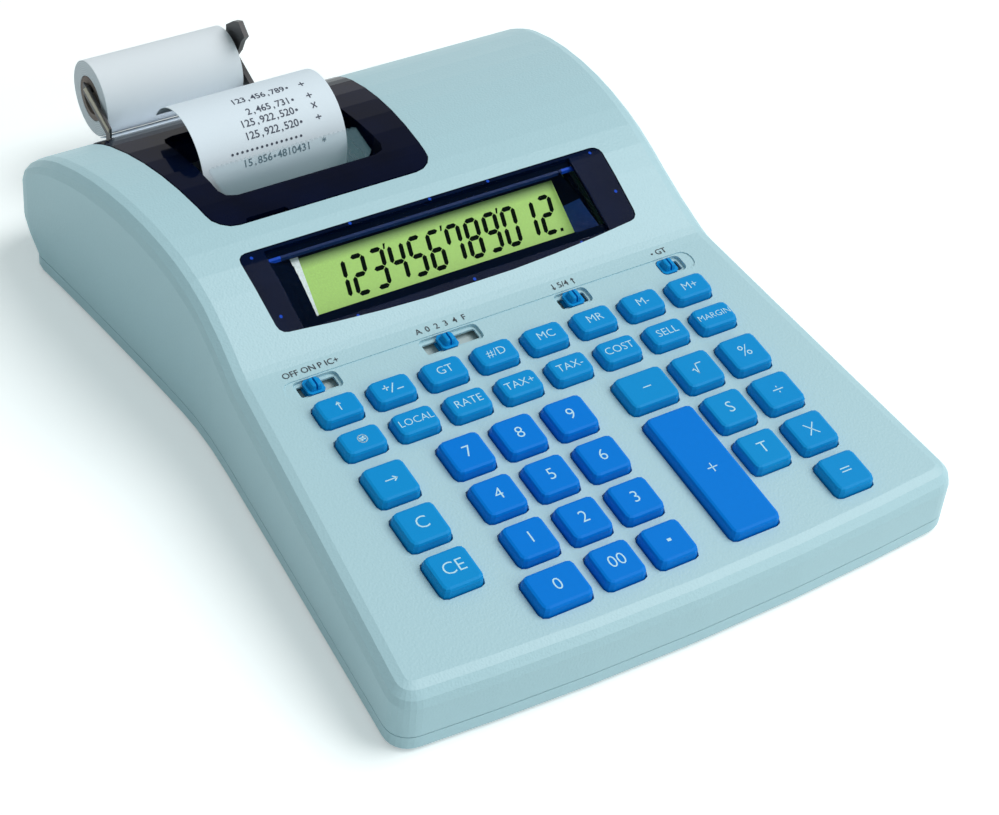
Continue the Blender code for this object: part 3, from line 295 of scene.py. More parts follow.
def circle_line(x, y, radius, sides=20):
    """A closed round line."""
    turns = [2 * math.pi * step / sides for step in range(sides + 1)]
    return [(x + radius * math.cos(turn), y + radius * math.sin(turn)) for turn in turns]


def repeated(name, count, start, step, size, material):
    """A row of small bars made with Geometry Nodes and turned into a plain mesh."""
    tree = bpy.data.node_groups.new(name, "GeometryNodeTree")
    sockets = (("Count", "NodeSocketInt"), ("Start", "NodeSocketVector"), ("Step", "NodeSocketVector"),
               ("Bar size", "NodeSocketVector"), ("Finish", "NodeSocketMaterial"))
    for label, kind in sockets:
        tree.interface.new_socket(label, in_out="INPUT", socket_type=kind)
    tree.interface.new_socket("Geometry", in_out="OUTPUT", socket_type="NodeSocketGeometry")
    given = tree.nodes.new("NodeGroupInput")
    line = tree.nodes.new("GeometryNodeMeshLine")
    bar = tree.nodes.new("GeometryNodeMeshCube")
    place = tree.nodes.new("GeometryNodeInstanceOnPoints")
    real = tree.nodes.new("GeometryNodeRealizeInstances")
    finish = tree.nodes.new("GeometryNodeSetMaterial")
    out = tree.nodes.new("NodeGroupOutput")
    links = ((given, "Count", line, "Count"), (given, "Start", line, "Start Location"),
             (given, "Step", line, "Offset"), (given, "Bar size", bar, "Size"),
             (line, "Mesh", place, "Points"), (bar, "Mesh", place, "Instance"),
             (place, "Instances", real, "Geometry"), (real, "Geometry", finish, "Geometry"),
             (given, "Finish", finish, "Material"), (finish, "Geometry", out, "Geometry"))
    for source, result, target, value in links:
        tree.links.new(source.outputs[result], target.inputs[value])
    holder = bpy.data.objects.new(name, bpy.data.meshes.new(name))
    bpy.context.scene.collection.objects.link(holder)
    modifier = holder.modifiers.new("Row", "NODES")
    modifier.node_group = tree
    values = {"Count": count, "Start": start, "Step": step, "Bar size": size, "Finish": material}
    for item in tree.interface.items_tree:
        if item.name in values:
            modifier[item.identifier] = values[item.name]
    bpy.context.view_layer.update()
    mesh = bpy.data.meshes.new_from_object(holder.evaluated_get(bpy.context.evaluated_depsgraph_get()))
    holder.modifiers.clear()
    holder.data = mesh
    mesh.name = name
    return holder


# Materials

def new_material(name):
    """A material with only a Principled shader and an output."""
    material = bpy.data.materials.new(name)
    material.use_nodes = True
    return material, material.node_tree, material.node_tree.nodes["Principled BSDF"]


def feed(tree, target, value):
    """Gives an input a socket's result, a colour or a number."""
    if isinstance(value, bpy.types.NodeSocket):
        tree.links.new(value, target)
    else:
        target.default_value = value


def reckoned(tree, operation, first, second=None, clamp=False):
    """The result of a maths node."""
    node = tree.nodes.new("ShaderNodeMath")
    node.operation = operation
    node.use_clamp = clamp
    feed(tree, node.inputs[0], first)
    if second is not None:
        feed(tree, node.inputs[1], second)
    return node.outputs[0]


def mixed(tree, share, first, second):
    """A colour between two others."""
    mix = tree.nodes.new("ShaderNodeMix")
    mix.data_type = "RGBA"
    for label, value in (("Factor", share), ("A", first), ("B", second)):
        feed(tree, mix.inputs[label], value)
    return mix.outputs["Result"]


def parts_of(tree, vector):
    """The three coordinates of a vector."""
    split = tree.nodes.new("ShaderNodeSeparateXYZ")
    tree.links.new(vector, split.inputs["Vector"])
    return split.outputs


def object_place(tree):
    """The place of a point on the object."""
    return tree.nodes.new("ShaderNodeTexCoord").outputs["Object"]


def grain_in(tree, scale):
    """The fine grain's outputs."""
    grain = tree.nodes.new("ShaderNodeGroup")
    grain.node_tree = grain_group()
    grain.inputs["Scale"].default_value = scale
    return grain.outputs


def shades(colour, spread):
    """A darker and a lighter shade of a colour."""
    return [(*[min(1.0, part * (1 + side * spread)) for part in colour], 1.0) for side in (-1, 1)]


def grain_group():
    """A node group that gives a value and a height for a fine surface grain."""
    group = bpy.data.node_groups.get("fine_grain")
    if group:
        return group
    group = bpy.data.node_groups.new("fine_grain", "ShaderNodeTree")
    scale = group.interface.new_socket("Scale", in_out="INPUT", socket_type="NodeSocketFloat")
    scale.default_value = 1000.0
    group.interface.new_socket("Value", in_out="OUTPUT", socket_type="NodeSocketFloat")
    group.interface.new_socket("Height", in_out="OUTPUT", socket_type="NodeSocketFloat")
    given = group.nodes.new("NodeGroupInput")
    out = group.nodes.new("NodeGroupOutput")
    place = group.nodes.new("ShaderNodeTexCoord")
    noise = group.nodes.new("ShaderNodeTexNoise")
    noise.inputs["Detail"].default_value = 3.0
    cells = group.nodes.new("ShaderNodeTexVoronoi")
    cells.feature = "SMOOTH_F1"
    for texture in (noise, cells):
        group.links.new(place.outputs["Object"], texture.inputs["Vector"])
        group.links.new(given.outputs["Scale"], texture.inputs["Scale"])
    group.links.new(noise.outputs["Fac"], out.inputs["Value"])
    group.links.new(cells.outputs["Distance"], out.inputs["Height"])
    return group


def grained(name, colour, roughness, size=0.001, depth=0.0, spread=0.06, gloss=0.5):
    """A plastic, paper or rubber whose colour and surface vary with a fine grain."""
    material, tree, shader = new_material(name)
    grain = grain_in(tree, 1 / size)
    tree.links.new(mixed(tree, grain["Value"], *shades(colour, spread)), shader.inputs["Base Color"])
    shader.inputs["Roughness"].default_value = roughness
    shader.inputs["Specular IOR Level"].default_value = gloss
    if depth > 0:
        bump = tree.nodes.new("ShaderNodeBump")
        bump.inputs["Strength"].default_value = 1.0
        bump.inputs["Distance"].default_value = depth
        tree.links.new(grain["Height"], bump.inputs["Height"])
        tree.links.new(bump.outputs["Normal"], shader.inputs["Normal"])
    return material


def region_group():
    """A node group that is one inside a box and zero outside it, with a soft edge."""
    group = bpy.data.node_groups.get("region")
    if group:
        return group
    group = bpy.data.node_groups.new("region", "ShaderNodeTree")
    group.interface.new_socket("Low", in_out="INPUT", socket_type="NodeSocketVector")
    group.interface.new_socket("High", in_out="INPUT", socket_type="NodeSocketVector")
    soft = group.interface.new_socket("Softness", in_out="INPUT", socket_type="NodeSocketFloat")
    soft.default_value = 0.0004
    group.interface.new_socket("Mask", in_out="OUTPUT", socket_type="NodeSocketFloat")
    given = group.nodes.new("NodeGroupInput")
    out = group.nodes.new("NodeGroupOutput")
    place = object_place(group)
    here = parts_of(group, place)
    low, high = [parts_of(group, given.outputs[label]) for label in ("Low", "High")]
    last = None
    for axis in "XY":
        for first, second in ((here, low), (high, here)):
            reach = reckoned(group, "SUBTRACT", first[axis], second[axis])
            share = reckoned(group, "DIVIDE", reach, given.outputs["Softness"], clamp=True)
            last = share if last is None else reckoned(group, "MULTIPLY", last, share)
    group.links.new(last, out.inputs["Mask"])
    return group


def smoked(name, dark, edge, body_alpha, gloss, region=None, clear_alpha=0.03):
    """Dark translucent plastic, mottled between two colours and clear in a given region."""
    material, tree, shader = new_material(name)
    colour = mixed(tree, grain_in(tree, 60.0)["Value"], (*dark, 1.0), (*edge, 1.0))
    tree.links.new(colour, shader.inputs["Base Color"])
    shader.inputs["Roughness"].default_value = 0.08
    shader.inputs["Specular IOR Level"].default_value = gloss
    shader.inputs["Alpha"].default_value = body_alpha
    if region:
        mask = tree.nodes.new("ShaderNodeGroup")
        mask.node_tree = region_group()
        mask.inputs["Low"].default_value = region[0]
        mask.inputs["High"].default_value = region[1]
        mask.inputs["Softness"].default_value = 0.0003
        fade = tree.nodes.new("ShaderNodeMapRange")
        fade.inputs["To Min"].default_value = body_alpha
        fade.inputs["To Max"].default_value = clear_alpha
        tree.links.new(mask.outputs["Mask"], fade.inputs["Value"])
        tree.links.new(fade.outputs["Result"], shader.inputs["Alpha"])
    return material


def display_material(name, colour, shade):
    """The display's glass: speckled, with a painted shadow under its upper edge and a faint painted glow."""
    material, tree, shader = new_material(name)
    speckle = mixed(tree, grain_in(tree, 1800.0)["Value"], *shades(colour, 0.15))
    # Painted shadow: towards its upper edge the glass turns to the given shade colour.
    fade = tree.nodes.new("ShaderNodeMapRange")
    top = lcd_point(0, lcd_half_height).y
    fade.inputs["From Min"].default_value = top - 0.0052
    fade.inputs["From Max"].default_value = top - 0.0012
    tree.links.new(parts_of(tree, object_place(tree))["Y"], fade.inputs["Value"])
    result = mixed(tree, fade.outputs["Result"], speckle, (*shade, 1.0))
    for label in ("Base Color", "Emission Color"):
        tree.links.new(result, shader.inputs[label])
    # Painted glow: the glass gives off a little light in its own colour, though it is no lamp.
    shader.inputs["Emission Strength"].default_value = 0.12
    shader.inputs["Roughness"].default_value = 0.5
    return material


def wound_material(name, colour, line_colour, pitch):
    """Paper whose ends show the edges of its turns."""
    material, tree, shader = new_material(name)
    shift, flat, length = [tree.nodes.new("ShaderNodeVectorMath") for _step in range(3)]
    shift.operation = "SUBTRACT"
    shift.inputs[1].default_value = (0.0, front_place + roll_place, roll_height)
    flat.operation = "MULTIPLY"
    flat.inputs[1].default_value = (0.0, 1.0, 1.0)
    length.operation = "LENGTH"
    tree.links.new(object_place(tree), shift.inputs[0])
    tree.links.new(shift.outputs["Vector"], flat.inputs[0])
    tree.links.new(flat.outputs["Vector"], length.inputs[0])
    wave = reckoned(tree, "PINGPONG", length.outputs["Value"], pitch)
    across = parts_of(tree, tree.nodes.new("ShaderNodeNewGeometry").outputs["True Normal"])["X"]
    turn = reckoned(tree, "DIVIDE", wave, pitch)
    share = reckoned(tree, "MULTIPLY", turn, reckoned(tree, "ABSOLUTE", across))
    colour = mixed(tree, share, (*colour, 1.0), (*line_colour, 1.0))
    tree.links.new(colour, shader.inputs["Base Color"])
    shader.inputs["Roughness"].default_value = 0.75
    return material


def dress(names, material):
    """Gives CAD nodes one material."""
    for name in names:
        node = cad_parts[name]
        if not node.data.materials:
            node.data.materials.append(material)
        for index in range(len(node.data.materials)):
            node.data.materials[index] = material


def dark_plastic_and_painted_shade():
    """Near-black blue plastic inside the display's opening; it also serves as painted shade on the housing's
    inner faces behind the window.
    """
    return grained("well_dark", (0.002, 0.005, 0.014), 0.7, 0.002, 0.0, 0.1, 0.0)


def stored(name, make):
    """A material by name, made when it is first asked for."""
    return bpy.data.materials.get(name) or make()


# Legends

def sign_lines():
    """Drawn signs, as lines in shares of their height."""
    return {
        "up": [[(0, -0.5), (0, 0.5)], [(-0.2, 0.25), (0, 0.5), (0.2, 0.25)]],
        "down": [[(0, 0.5), (0, -0.5)], [(-0.2, -0.25), (0, -0.5), (0.2, -0.25)]],
        "right": [[(-0.5, 0), (0.5, 0)], [(0.22, 0.22), (0.5, 0), (0.22, -0.22)]],
        "root": [[(-0.55, -0.05), (-0.4, 0.05), (-0.2, -0.5), (0.0, 0.5), (0.5, 0.5)]],
        "minus": [[(-0.5, 0), (0.5, 0)]],
        "plus": [[(-0.5, 0), (0.5, 0)], [(0, -0.5), (0, 0.5)]],
        "times": [[(-0.4, -0.5), (0.4, 0.5)], [(-0.4, 0.5), (0.4, -0.5)]],
        "divide": [[(-0.5, 0), (0.5, 0)], [(0, 0.3), (0, 0.36)], [(0, -0.36), (0, -0.3)]],
        "equals": [[(-0.5, 0.2), (0.5, 0.2)], [(-0.5, -0.2), (0.5, -0.2)]],
        "sign": [[(-1.0, 0.2), (-0.4, 0.2)], [(-0.7, -0.1), (-0.7, 0.5)], [(-0.35, -0.5), (0.25, 0.5)],
                 [(0.4, -0.35), (1.0, -0.35)]],
        "exchange": [circle_line(0, 0, 0.5), [(-0.28, 0.1), (0.28, 0.1), (0.12, 0.24)],
                     [(0.28, -0.1), (-0.28, -0.1), (-0.12, -0.24)]],
        "point": [[(-0.04, 0), (0.04, 0)]],
    }


def key_legends(height):
    """Each key's place, its legend and the legend's height."""
    small = height * 0.72
    narrowed = {"MARGIN": 0.76, "LOCAL": 0.86}
    legends = {}
    row_a_marks = (("feed", "up"), ("sign", "sign"), ("grand_total", "GT"), ("item", "#/D"),
                   ("memory_clear", "MC"), ("memory_recall", "MR"), ("memory_minus", "M-"), ("memory_plus", "M+"))
    row_b_marks = (("exchange", "exchange"), ("local", "LOCAL"), ("rate", "RATE"), ("tax_plus", "TAX+"),
                   ("tax_minus", "TAX-"), ("cost", "COST"), ("sell", "SELL"), ("margin", "MARGIN"))
    for index in range(8):
        x = (index - 3.5) * small_pitch
        for place, marks, share in ((row_a, row_a_marks, 1.0), (row_b, row_b_marks, 0.95)):
            name, mark = marks[index]
            legends["key_" + name] = (x, place, mark, small * narrowed.get(mark, share))
    for row, digits in ((3, "789"), (2, "456"), (1, "123")):
        for digit, x in zip(digits, digit_columns):
            legends["key_" + digit] = (x, rows[row], digit, height)
    others = (
        ("0", zero_column, 0, "0", 1.0), ("00", digit_columns[1], 0, "00", 1.0),
        ("point", digit_columns[2], 0, "point", 1.0), ("right_shift", left_column, 3, "right", 0.9),
        ("clear", left_column, 2, "C", 1.05), ("clear_entry", left_column, 1, "CE", 1.05),
        ("square_root", root_column, 3, "root", 0.9), ("subtotal", root_column, 2, "S", 1.0),
        ("total", root_column, 1, "T", 1.0), ("percent", right_column, 3, "%", 1.05),
        ("divide", right_column, 2, "divide", 0.8), ("multiply", right_column, 1, "times", 1.0),
        ("equals", right_column, 0, "equals", 0.75), ("minus", plus_column, 3, "minus", 0.6),
        ("plus", plus_column, 1, "plus", 0.75))
    for name, x, row, mark, share in others:
        legends["key_" + name] = (x, rows[row], mark, height * share)
    return legends


def mark_shapes(mark, height):
    """Flat polygons of a legend, drawn or set in type."""
    lines = sign_lines()
    if mark in lines:
        width = 0.00042 if mark != "point" else 0.00110
        return stroke_shapes(lines[mark], height, width)
    return text_shapes(mark, height)


# Display figures

def segment_shapes(lit, x, height, width, stroke, lean):
    """Flat polygons of one seven-segment figure; lit names its segments by the letters a to g."""
    half_w = width / 2
    half_h = height / 2
    gap = stroke * 0.10
    cut = stroke / 2

    def bar(start, end):
        """One segment with pointed ends."""
        a = Vector(start)
        b = Vector(end)
        along = (b - a).normalized()
        side = Vector((-along.y, along.x)) * cut
        a = a + along * gap
        b = b - along * gap
        near = a + along * cut
        far = b - along * cut
        points = [a, near - side, far - side, b, far + side, near + side]
        return [(x + p.x + p.y * lean, p.y) for p in points]

    ends = {
        "a": ((-half_w, half_h), (half_w, half_h)), "b": ((half_w, 0), (half_w, half_h)),
        "c": ((half_w, -half_h), (half_w, 0)), "d": ((-half_w, -half_h), (half_w, -half_h)),
        "e": ((-half_w, -half_h), (-half_w, 0)), "f": ((-half_w, 0), (-half_w, half_h)),
        "g": ((-half_w, 0), (half_w, 0)),
    }
    return [bar(*ends[letter]) for letter in lit]


# Paper

def tangent_corner(start, centre, radius, wall_y):
    """Where the line from a point under a circle meets an upright line at its side."""
    away = Vector((centre[0] - start[0], centre[1] - start[1]))
    bearing = math.atan2(away.y, away.x) + math.asin(radius / away.length)
    return wall_y, start[1] + (wall_y - start[0]) * math.tan(bearing)


def rounded_route(points, radii, steps):
    """Points of a route with its inner corners rounded."""
    route = [Vector(points[0])]
    for index in range(1, len(points) - 1):
        corner = Vector(points[index])
        back = (Vector(points[index - 1]) - corner).normalized()
        ahead = (Vector(points[index + 1]) - corner).normalized()
        half = back.angle(ahead) / 2
        centre = corner + (back + ahead).normalized() * (radii[index - 1] / math.sin(half))
        start = corner + back * (radii[index - 1] / math.tan(half)) - centre
        sweep = math.pi - 2 * half
        turn = 1 if back.y * ahead.x - back.x * ahead.y > 0 else -1
        for step in range(steps + 1):
            angle = turn * sweep * step / steps
            route.append(centre + Vector((start.x * math.cos(angle) - start.y * math.sin(angle),
                                          start.x * math.sin(angle) + start.y * math.cos(angle))))
    route.append(Vector(points[-1]))
    return route


def paper_rise():
    """Distance from the front at which the paper rises beside the platen."""
    return platen_place - platen_radius - fit_gap - paper_thickness / 2


def paper_route(steps):
    """Side view of the paper from the roll, under the platen and out to its curl."""
    offset = fit_gap + paper_thickness / 2
    rise_y = paper_rise()
    level, slope = crown(slot_place)
    slot = (slot_place, level - wall / 2)
    away = Vector((roll_place - slot[0], roll_height - slot[1]))
    reach = roll_radius + offset
    bearing = math.atan2(away.y, away.x) - math.asin(reach / away.length)
    run = math.sqrt(away.length_squared - reach * reach)
    start = (slot[0] + run * math.cos(bearing), slot[1] + run * math.sin(bearing))
    corner = tangent_corner(slot, (platen_place, platen_height), platen_radius + offset, rise_y)
    points = [start, slot, corner, (rise_y, curl_height)]
    route = rounded_route(points, [bend_radius, platen_radius + offset], 16)
    for step in range(1, steps + 1):
        route.append(curl_point(180 - (180 - curl_end_degrees) * step / steps, 0.0))
    return route


def curl_point(degrees, height):
    """Side view point on the curl: 180 degrees is where it starts and 90 its highest point."""
    angle = math.radians(degrees)
    radius = curl_radius + height
    middle = paper_rise() + curl_radius
    return Vector((middle + radius * math.cos(angle), curl_height + radius * math.sin(angle)))


def printed_shapes(text, middle_x, height, pitch):
    """Flat polygons of a printed line, each character on its own pitch, as x and arc places."""
    shapes = []
    for index, mark in enumerate(text):
        if mark == " ":
            continue
        x = middle_x + (index - (len(text) - 1) / 2) * pitch
        lines = {"+": "plus", "x": "times", "/": "divide"}
        if mark in lines:
            found = stroke_shapes(sign_lines()[lines[mark]], height * 0.66, height * 0.17)
        elif mark == ".":
            found = [dot_shape(0, 0, height * 0.2, 8)]
        else:
            found = text_shapes(mark, height, 0.013)
        for shape in found:
            shapes.append([(x + px, py) for px, py in shape])
    return shapes


# Operators

class CALCULATOR_OT_stage(bpy.types.Operator):
    """Sets the camera, the floor, the sky and the lamps"""
    bl_idname = "calculator.stage"
    bl_label = "Set the stage"

    def execute(self, context):
        """Makes the stage."""
        settings = context.scene.calculator
        scene = context.scene
        data = bpy.data.cameras.new("camera")
        data.sensor_width = 36.0
        data.lens = camera_lens
        data.clip_start = 0.01
        data.clip_end = 20.0
        camera = bpy.data.objects.new("camera", data)
        scene.collection.objects.link(camera)
        turn = Matrix((camera_right, [-v for v in camera_down], [-v for v in camera_ahead])).transposed()
        place = Vector(camera_place) + Vector((0, front_place, 0))
        camera.matrix_world = Matrix.Translation(place) @ turn.to_4x4()
        scene.camera = camera
        scene.view_settings.view_transform = "Standard"
        self.make_sky(scene, settings.sky_strength)
        self.make_floor()
        self.make_sun(settings.lamp_strength)
        self.make_lamp("front_lamp", (0.70, -1.10, 0.70), 0.7, settings.lamp_strength * 2.0, (0.95, 1.0, 1.0))
        return {"FINISHED"}

    def seen(self, tree):
        """A value that is one for rays that show what is behind: camera, glossy and transmission rays."""
        path = tree.nodes.new("ShaderNodeLightPath").outputs
        first = reckoned(tree, "MAXIMUM", path["Is Camera Ray"], path["Is Glossy Ray"])
        return reckoned(tree, "MAXIMUM", first, path["Is Transmission Ray"])

    def make_sky(self, scene, strength):
        """A pale sky that is white where it is seen."""
        world = bpy.data.worlds.new("sky")
        scene.world = world
        world.use_nodes = True
        tree = world.node_tree
        sky = tree.nodes["Background"]
        sky.inputs["Color"].default_value = sky_colour
        sky.inputs["Strength"].default_value = strength
        white = tree.nodes.new("ShaderNodeBackground")
        white.inputs["Color"].default_value = (1.0, 1.0, 1.0, 1.0)
        mix = tree.nodes.new("ShaderNodeMixShader")
        tree.links.new(self.seen(tree), mix.inputs[0])
        tree.links.new(sky.outputs[0], mix.inputs[1])
        tree.links.new(white.outputs[0], mix.inputs[2])
        tree.links.new(mix.outputs[0], tree.nodes["World Output"].inputs["Surface"])

    def make_floor(self):
        """A pale floor that is white where it is seen and keeps its shadows."""
        bm = bmesh.new()
        reach = 6.0
        corners = ((-reach, -reach), (reach, -reach), (reach, reach), (-reach, reach))
        bm.faces.new([bm.verts.new((x, y, 0)) for x, y in corners])
        material, tree, shader = new_material("floor")
        noise = tree.nodes.new("ShaderNodeTexNoise")
        place = tree.nodes.new("ShaderNodeTexCoord")
        noise.inputs["Scale"].default_value = 20.0
        tree.links.new(place.outputs["Object"], noise.inputs["Vector"])
        fade = tree.nodes.new("ShaderNodeMapRange")
        fade.inputs["To Min"].default_value = 0.88
        fade.inputs["To Max"].default_value = 0.92
        tree.links.new(noise.outputs["Fac"], fade.inputs["Value"])
        tree.links.new(fade.outputs["Result"], shader.inputs["Roughness"])
        shader.inputs["Base Color"].default_value = (0.92, 0.95, 0.945, 1.0)
        shader.inputs["Specular IOR Level"].default_value = 0.1
        shader.inputs["Emission Color"].default_value = (1.0, 1.0, 1.0, 1.0)
        glow = reckoned(tree, "MULTIPLY", self.seen(tree), floor_glow)
        tree.links.new(glow, shader.inputs["Emission Strength"])
        floor = add_piece("floor", bm, [material], body=None)

    def make_sun(self, strength):
        """The wide, soft key light from the right."""
        data = bpy.data.lights.new("key_lamp", "SUN")
        data.energy = strength
        data.angle = math.radians(lamp_degrees)
        lamp = bpy.data.objects.new("key_lamp", data)
        bpy.context.scene.collection.objects.link(lamp)
        lamp.rotation_euler = Vector(lamp_heading).to_track_quat("-Z", "Y").to_euler()

    def make_lamp(self, name, place, size, power, colour):
        """A soft square lamp that points at the object."""
        data = bpy.data.lights.new(name, "AREA")
        data.shape = "SQUARE"
        data.size = size
        data.energy = power
        data.color = colour
        lamp = bpy.data.objects.new(name, data)
        bpy.context.scene.collection.objects.link(lamp)
        lamp.location = place
        aim = Vector((0, 0, 0.03)) - Vector(place)
        lamp.rotation_euler = aim.to_track_quat("-Z", "Y").to_euler()


class CALCULATOR_OT_finishes(bpy.types.Operator):
    """Gives every carried-over solid its finish"""
    bl_idname = "calculator.finishes"
    bl_label = "Give the solids their finishes"

    def execute(self, context):
        """Dresses the solids."""
        settings = context.scene.calculator
        shell = grained("housing", (0.435, 0.640, 0.700), 0.42,
                        settings.grain_size, settings.grain_depth, 0.03)
        dress(["top_shell", "bottom_shell"], shell)
        numbers = ["key_" + mark for mark in "0123456789"] + ["key_00", "key_point", "key_plus"]
        rest = numbers + ["key_mat"]
        others = [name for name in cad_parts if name.startswith("key_") and name not in rest]
        dress(numbers, grained("number_key", (0.0, 0.205, 0.740), 0.40, 0.002, 0.0, 0.03, 0.07))
        sliders = [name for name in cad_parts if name.startswith("slider_")]
        dress(others + sliders, grained("function_key", (0.004, 0.290, 0.690), 0.40, 0.002, 0.0, 0.03, 0.08))
        region = ((well_left, front_place + well_front - 0.0006, 0), (well_right, front_place + well_rear, 0))
        window = smoked("display_window", (0.0005, 0.002, 0.010), (0.001, 0.009, 0.045), 0.95, 0.025, region)
        cover = smoked("printer_cover", (0.0005, 0.0015, 0.006), (0.001, 0.005, 0.030), 0.98, 0.03)
        dress(["display_window"], window)
        dress(["printer_cover"], cover)
        # The second colour is the painted shadow under the display's upper edge.
        dress(["lcd_panel"], display_material("display_glass", (0.350, 0.610, 0.120), (0.050, 0.110, 0.035)))
        dress(["tear_bar"], smoked("clear", (0.30, 0.60, 0.70), (0.45, 0.70, 0.80), 0.10, 0.5))
        wound = wound_material("wound_paper", (0.83, 0.86, 0.90), (0.55, 0.58, 0.62), 0.00035)
        dress(["paper_roll"], wound)
        dress(["paper_core"], grained("core", (0.20, 0.155, 0.135), 0.8, 0.0006, 0.00002, 0.2))
        dress(["printer_frame"], grained("frame", (0.02, 0.02, 0.025), 0.5, 0.001, 0.0, 0.1))
        rubber = grained("rubber", (0.02, 0.02, 0.02), 0.7, 0.0008, 0.00002, 0.15)
        dress(["platen_roller", "key_mat", "front_foot", "rear_foot"], rubber)
        dress(["main_board"], grained("board", (0.02, 0.10, 0.05), 0.45, 0.002, 0.0, 0.15))
        return {"FINISHED"}


class CALCULATOR_OT_legends(bpy.types.Operator):
    """Adds the legend on each key"""
    bl_idname = "calculator.legends"
    bl_label = "Add the key legends"

    def execute(self, context):
        """Makes the legends."""
        ink = grained("legend_ink", (0.50, 0.78, 0.90), 0.45, 0.0005, 0.0, 0.05)
        for name, (x, s, mark, height) in key_legends(context.scene.calculator.legend_height).items():
            bm = bmesh.new()
            add_flat(bm, mark_shapes(mark, height),
                     lambda px, py: deck_point(x + px, s + py, key_height + film))
            add_piece(name + "_legend", bm, [ink], name)
        return {"FINISHED"}


class CALCULATOR_OT_switch_marks(bpy.types.Operator):
    """Adds the lettering beside the slide switches"""
    bl_idname = "calculator.switch_marks"
    bl_label = "Add the switch lettering"

    def execute(self, context):
        """Makes the lettering."""
        ink = grained("switch_ink", (0.015, 0.02, 0.03), 0.5, 0.0005, 0.0, 0.1)
        bm = bmesh.new()
        height = 0.0024
        above = 0.0058
        power, decimal, rounding, total = slot_places
        marks = [(power - 0.0066, "OFF"), (power + 0.0001, "ON"), (power + 0.0045, "P"),
                 (power + 0.0090, "IC+")]
        marks += [(decimal + (i - 2.5) * 0.0036, mark) for i, mark in enumerate("A0234F")]
        marks += [(rounding - 0.0040, "down"), (rounding, "5/4"), (rounding + 0.0042, "up"),
                  (total + 0.0002, "GT")]
        for x, mark in marks:
            if mark in ("down", "up"):
                shapes = stroke_shapes(sign_lines()[mark], height, 0.00030)
            else:
                shapes = text_shapes(mark, height, 0.004)
            add_flat(bm, shapes, lambda px, py: crown_point(x + px, switch_place + above + py, 5 * film))
        dots = [dot_shape(total - 0.0036, 0, 0.0004)]
        add_flat(bm, dots, lambda px, py: crown_point(px, switch_place + above + py, 5 * film))
        add_piece("switch_lettering", bm, [ink])
        bm = bmesh.new()
        plate = [(-0.0816, 0.1225), (0.0816, 0.1225), (0.0816, 0.1300), (-0.0816, 0.1300)]
        add_flat(bm, [plate], lambda px, py: deck_point(px, py, -0.0042))
        add_piece("switch_plate", bm, [grained("switch_plate", (0.50, 0.60, 0.60), 0.5, 0.001, 0.0, 0.05)])
        return {"FINISHED"}


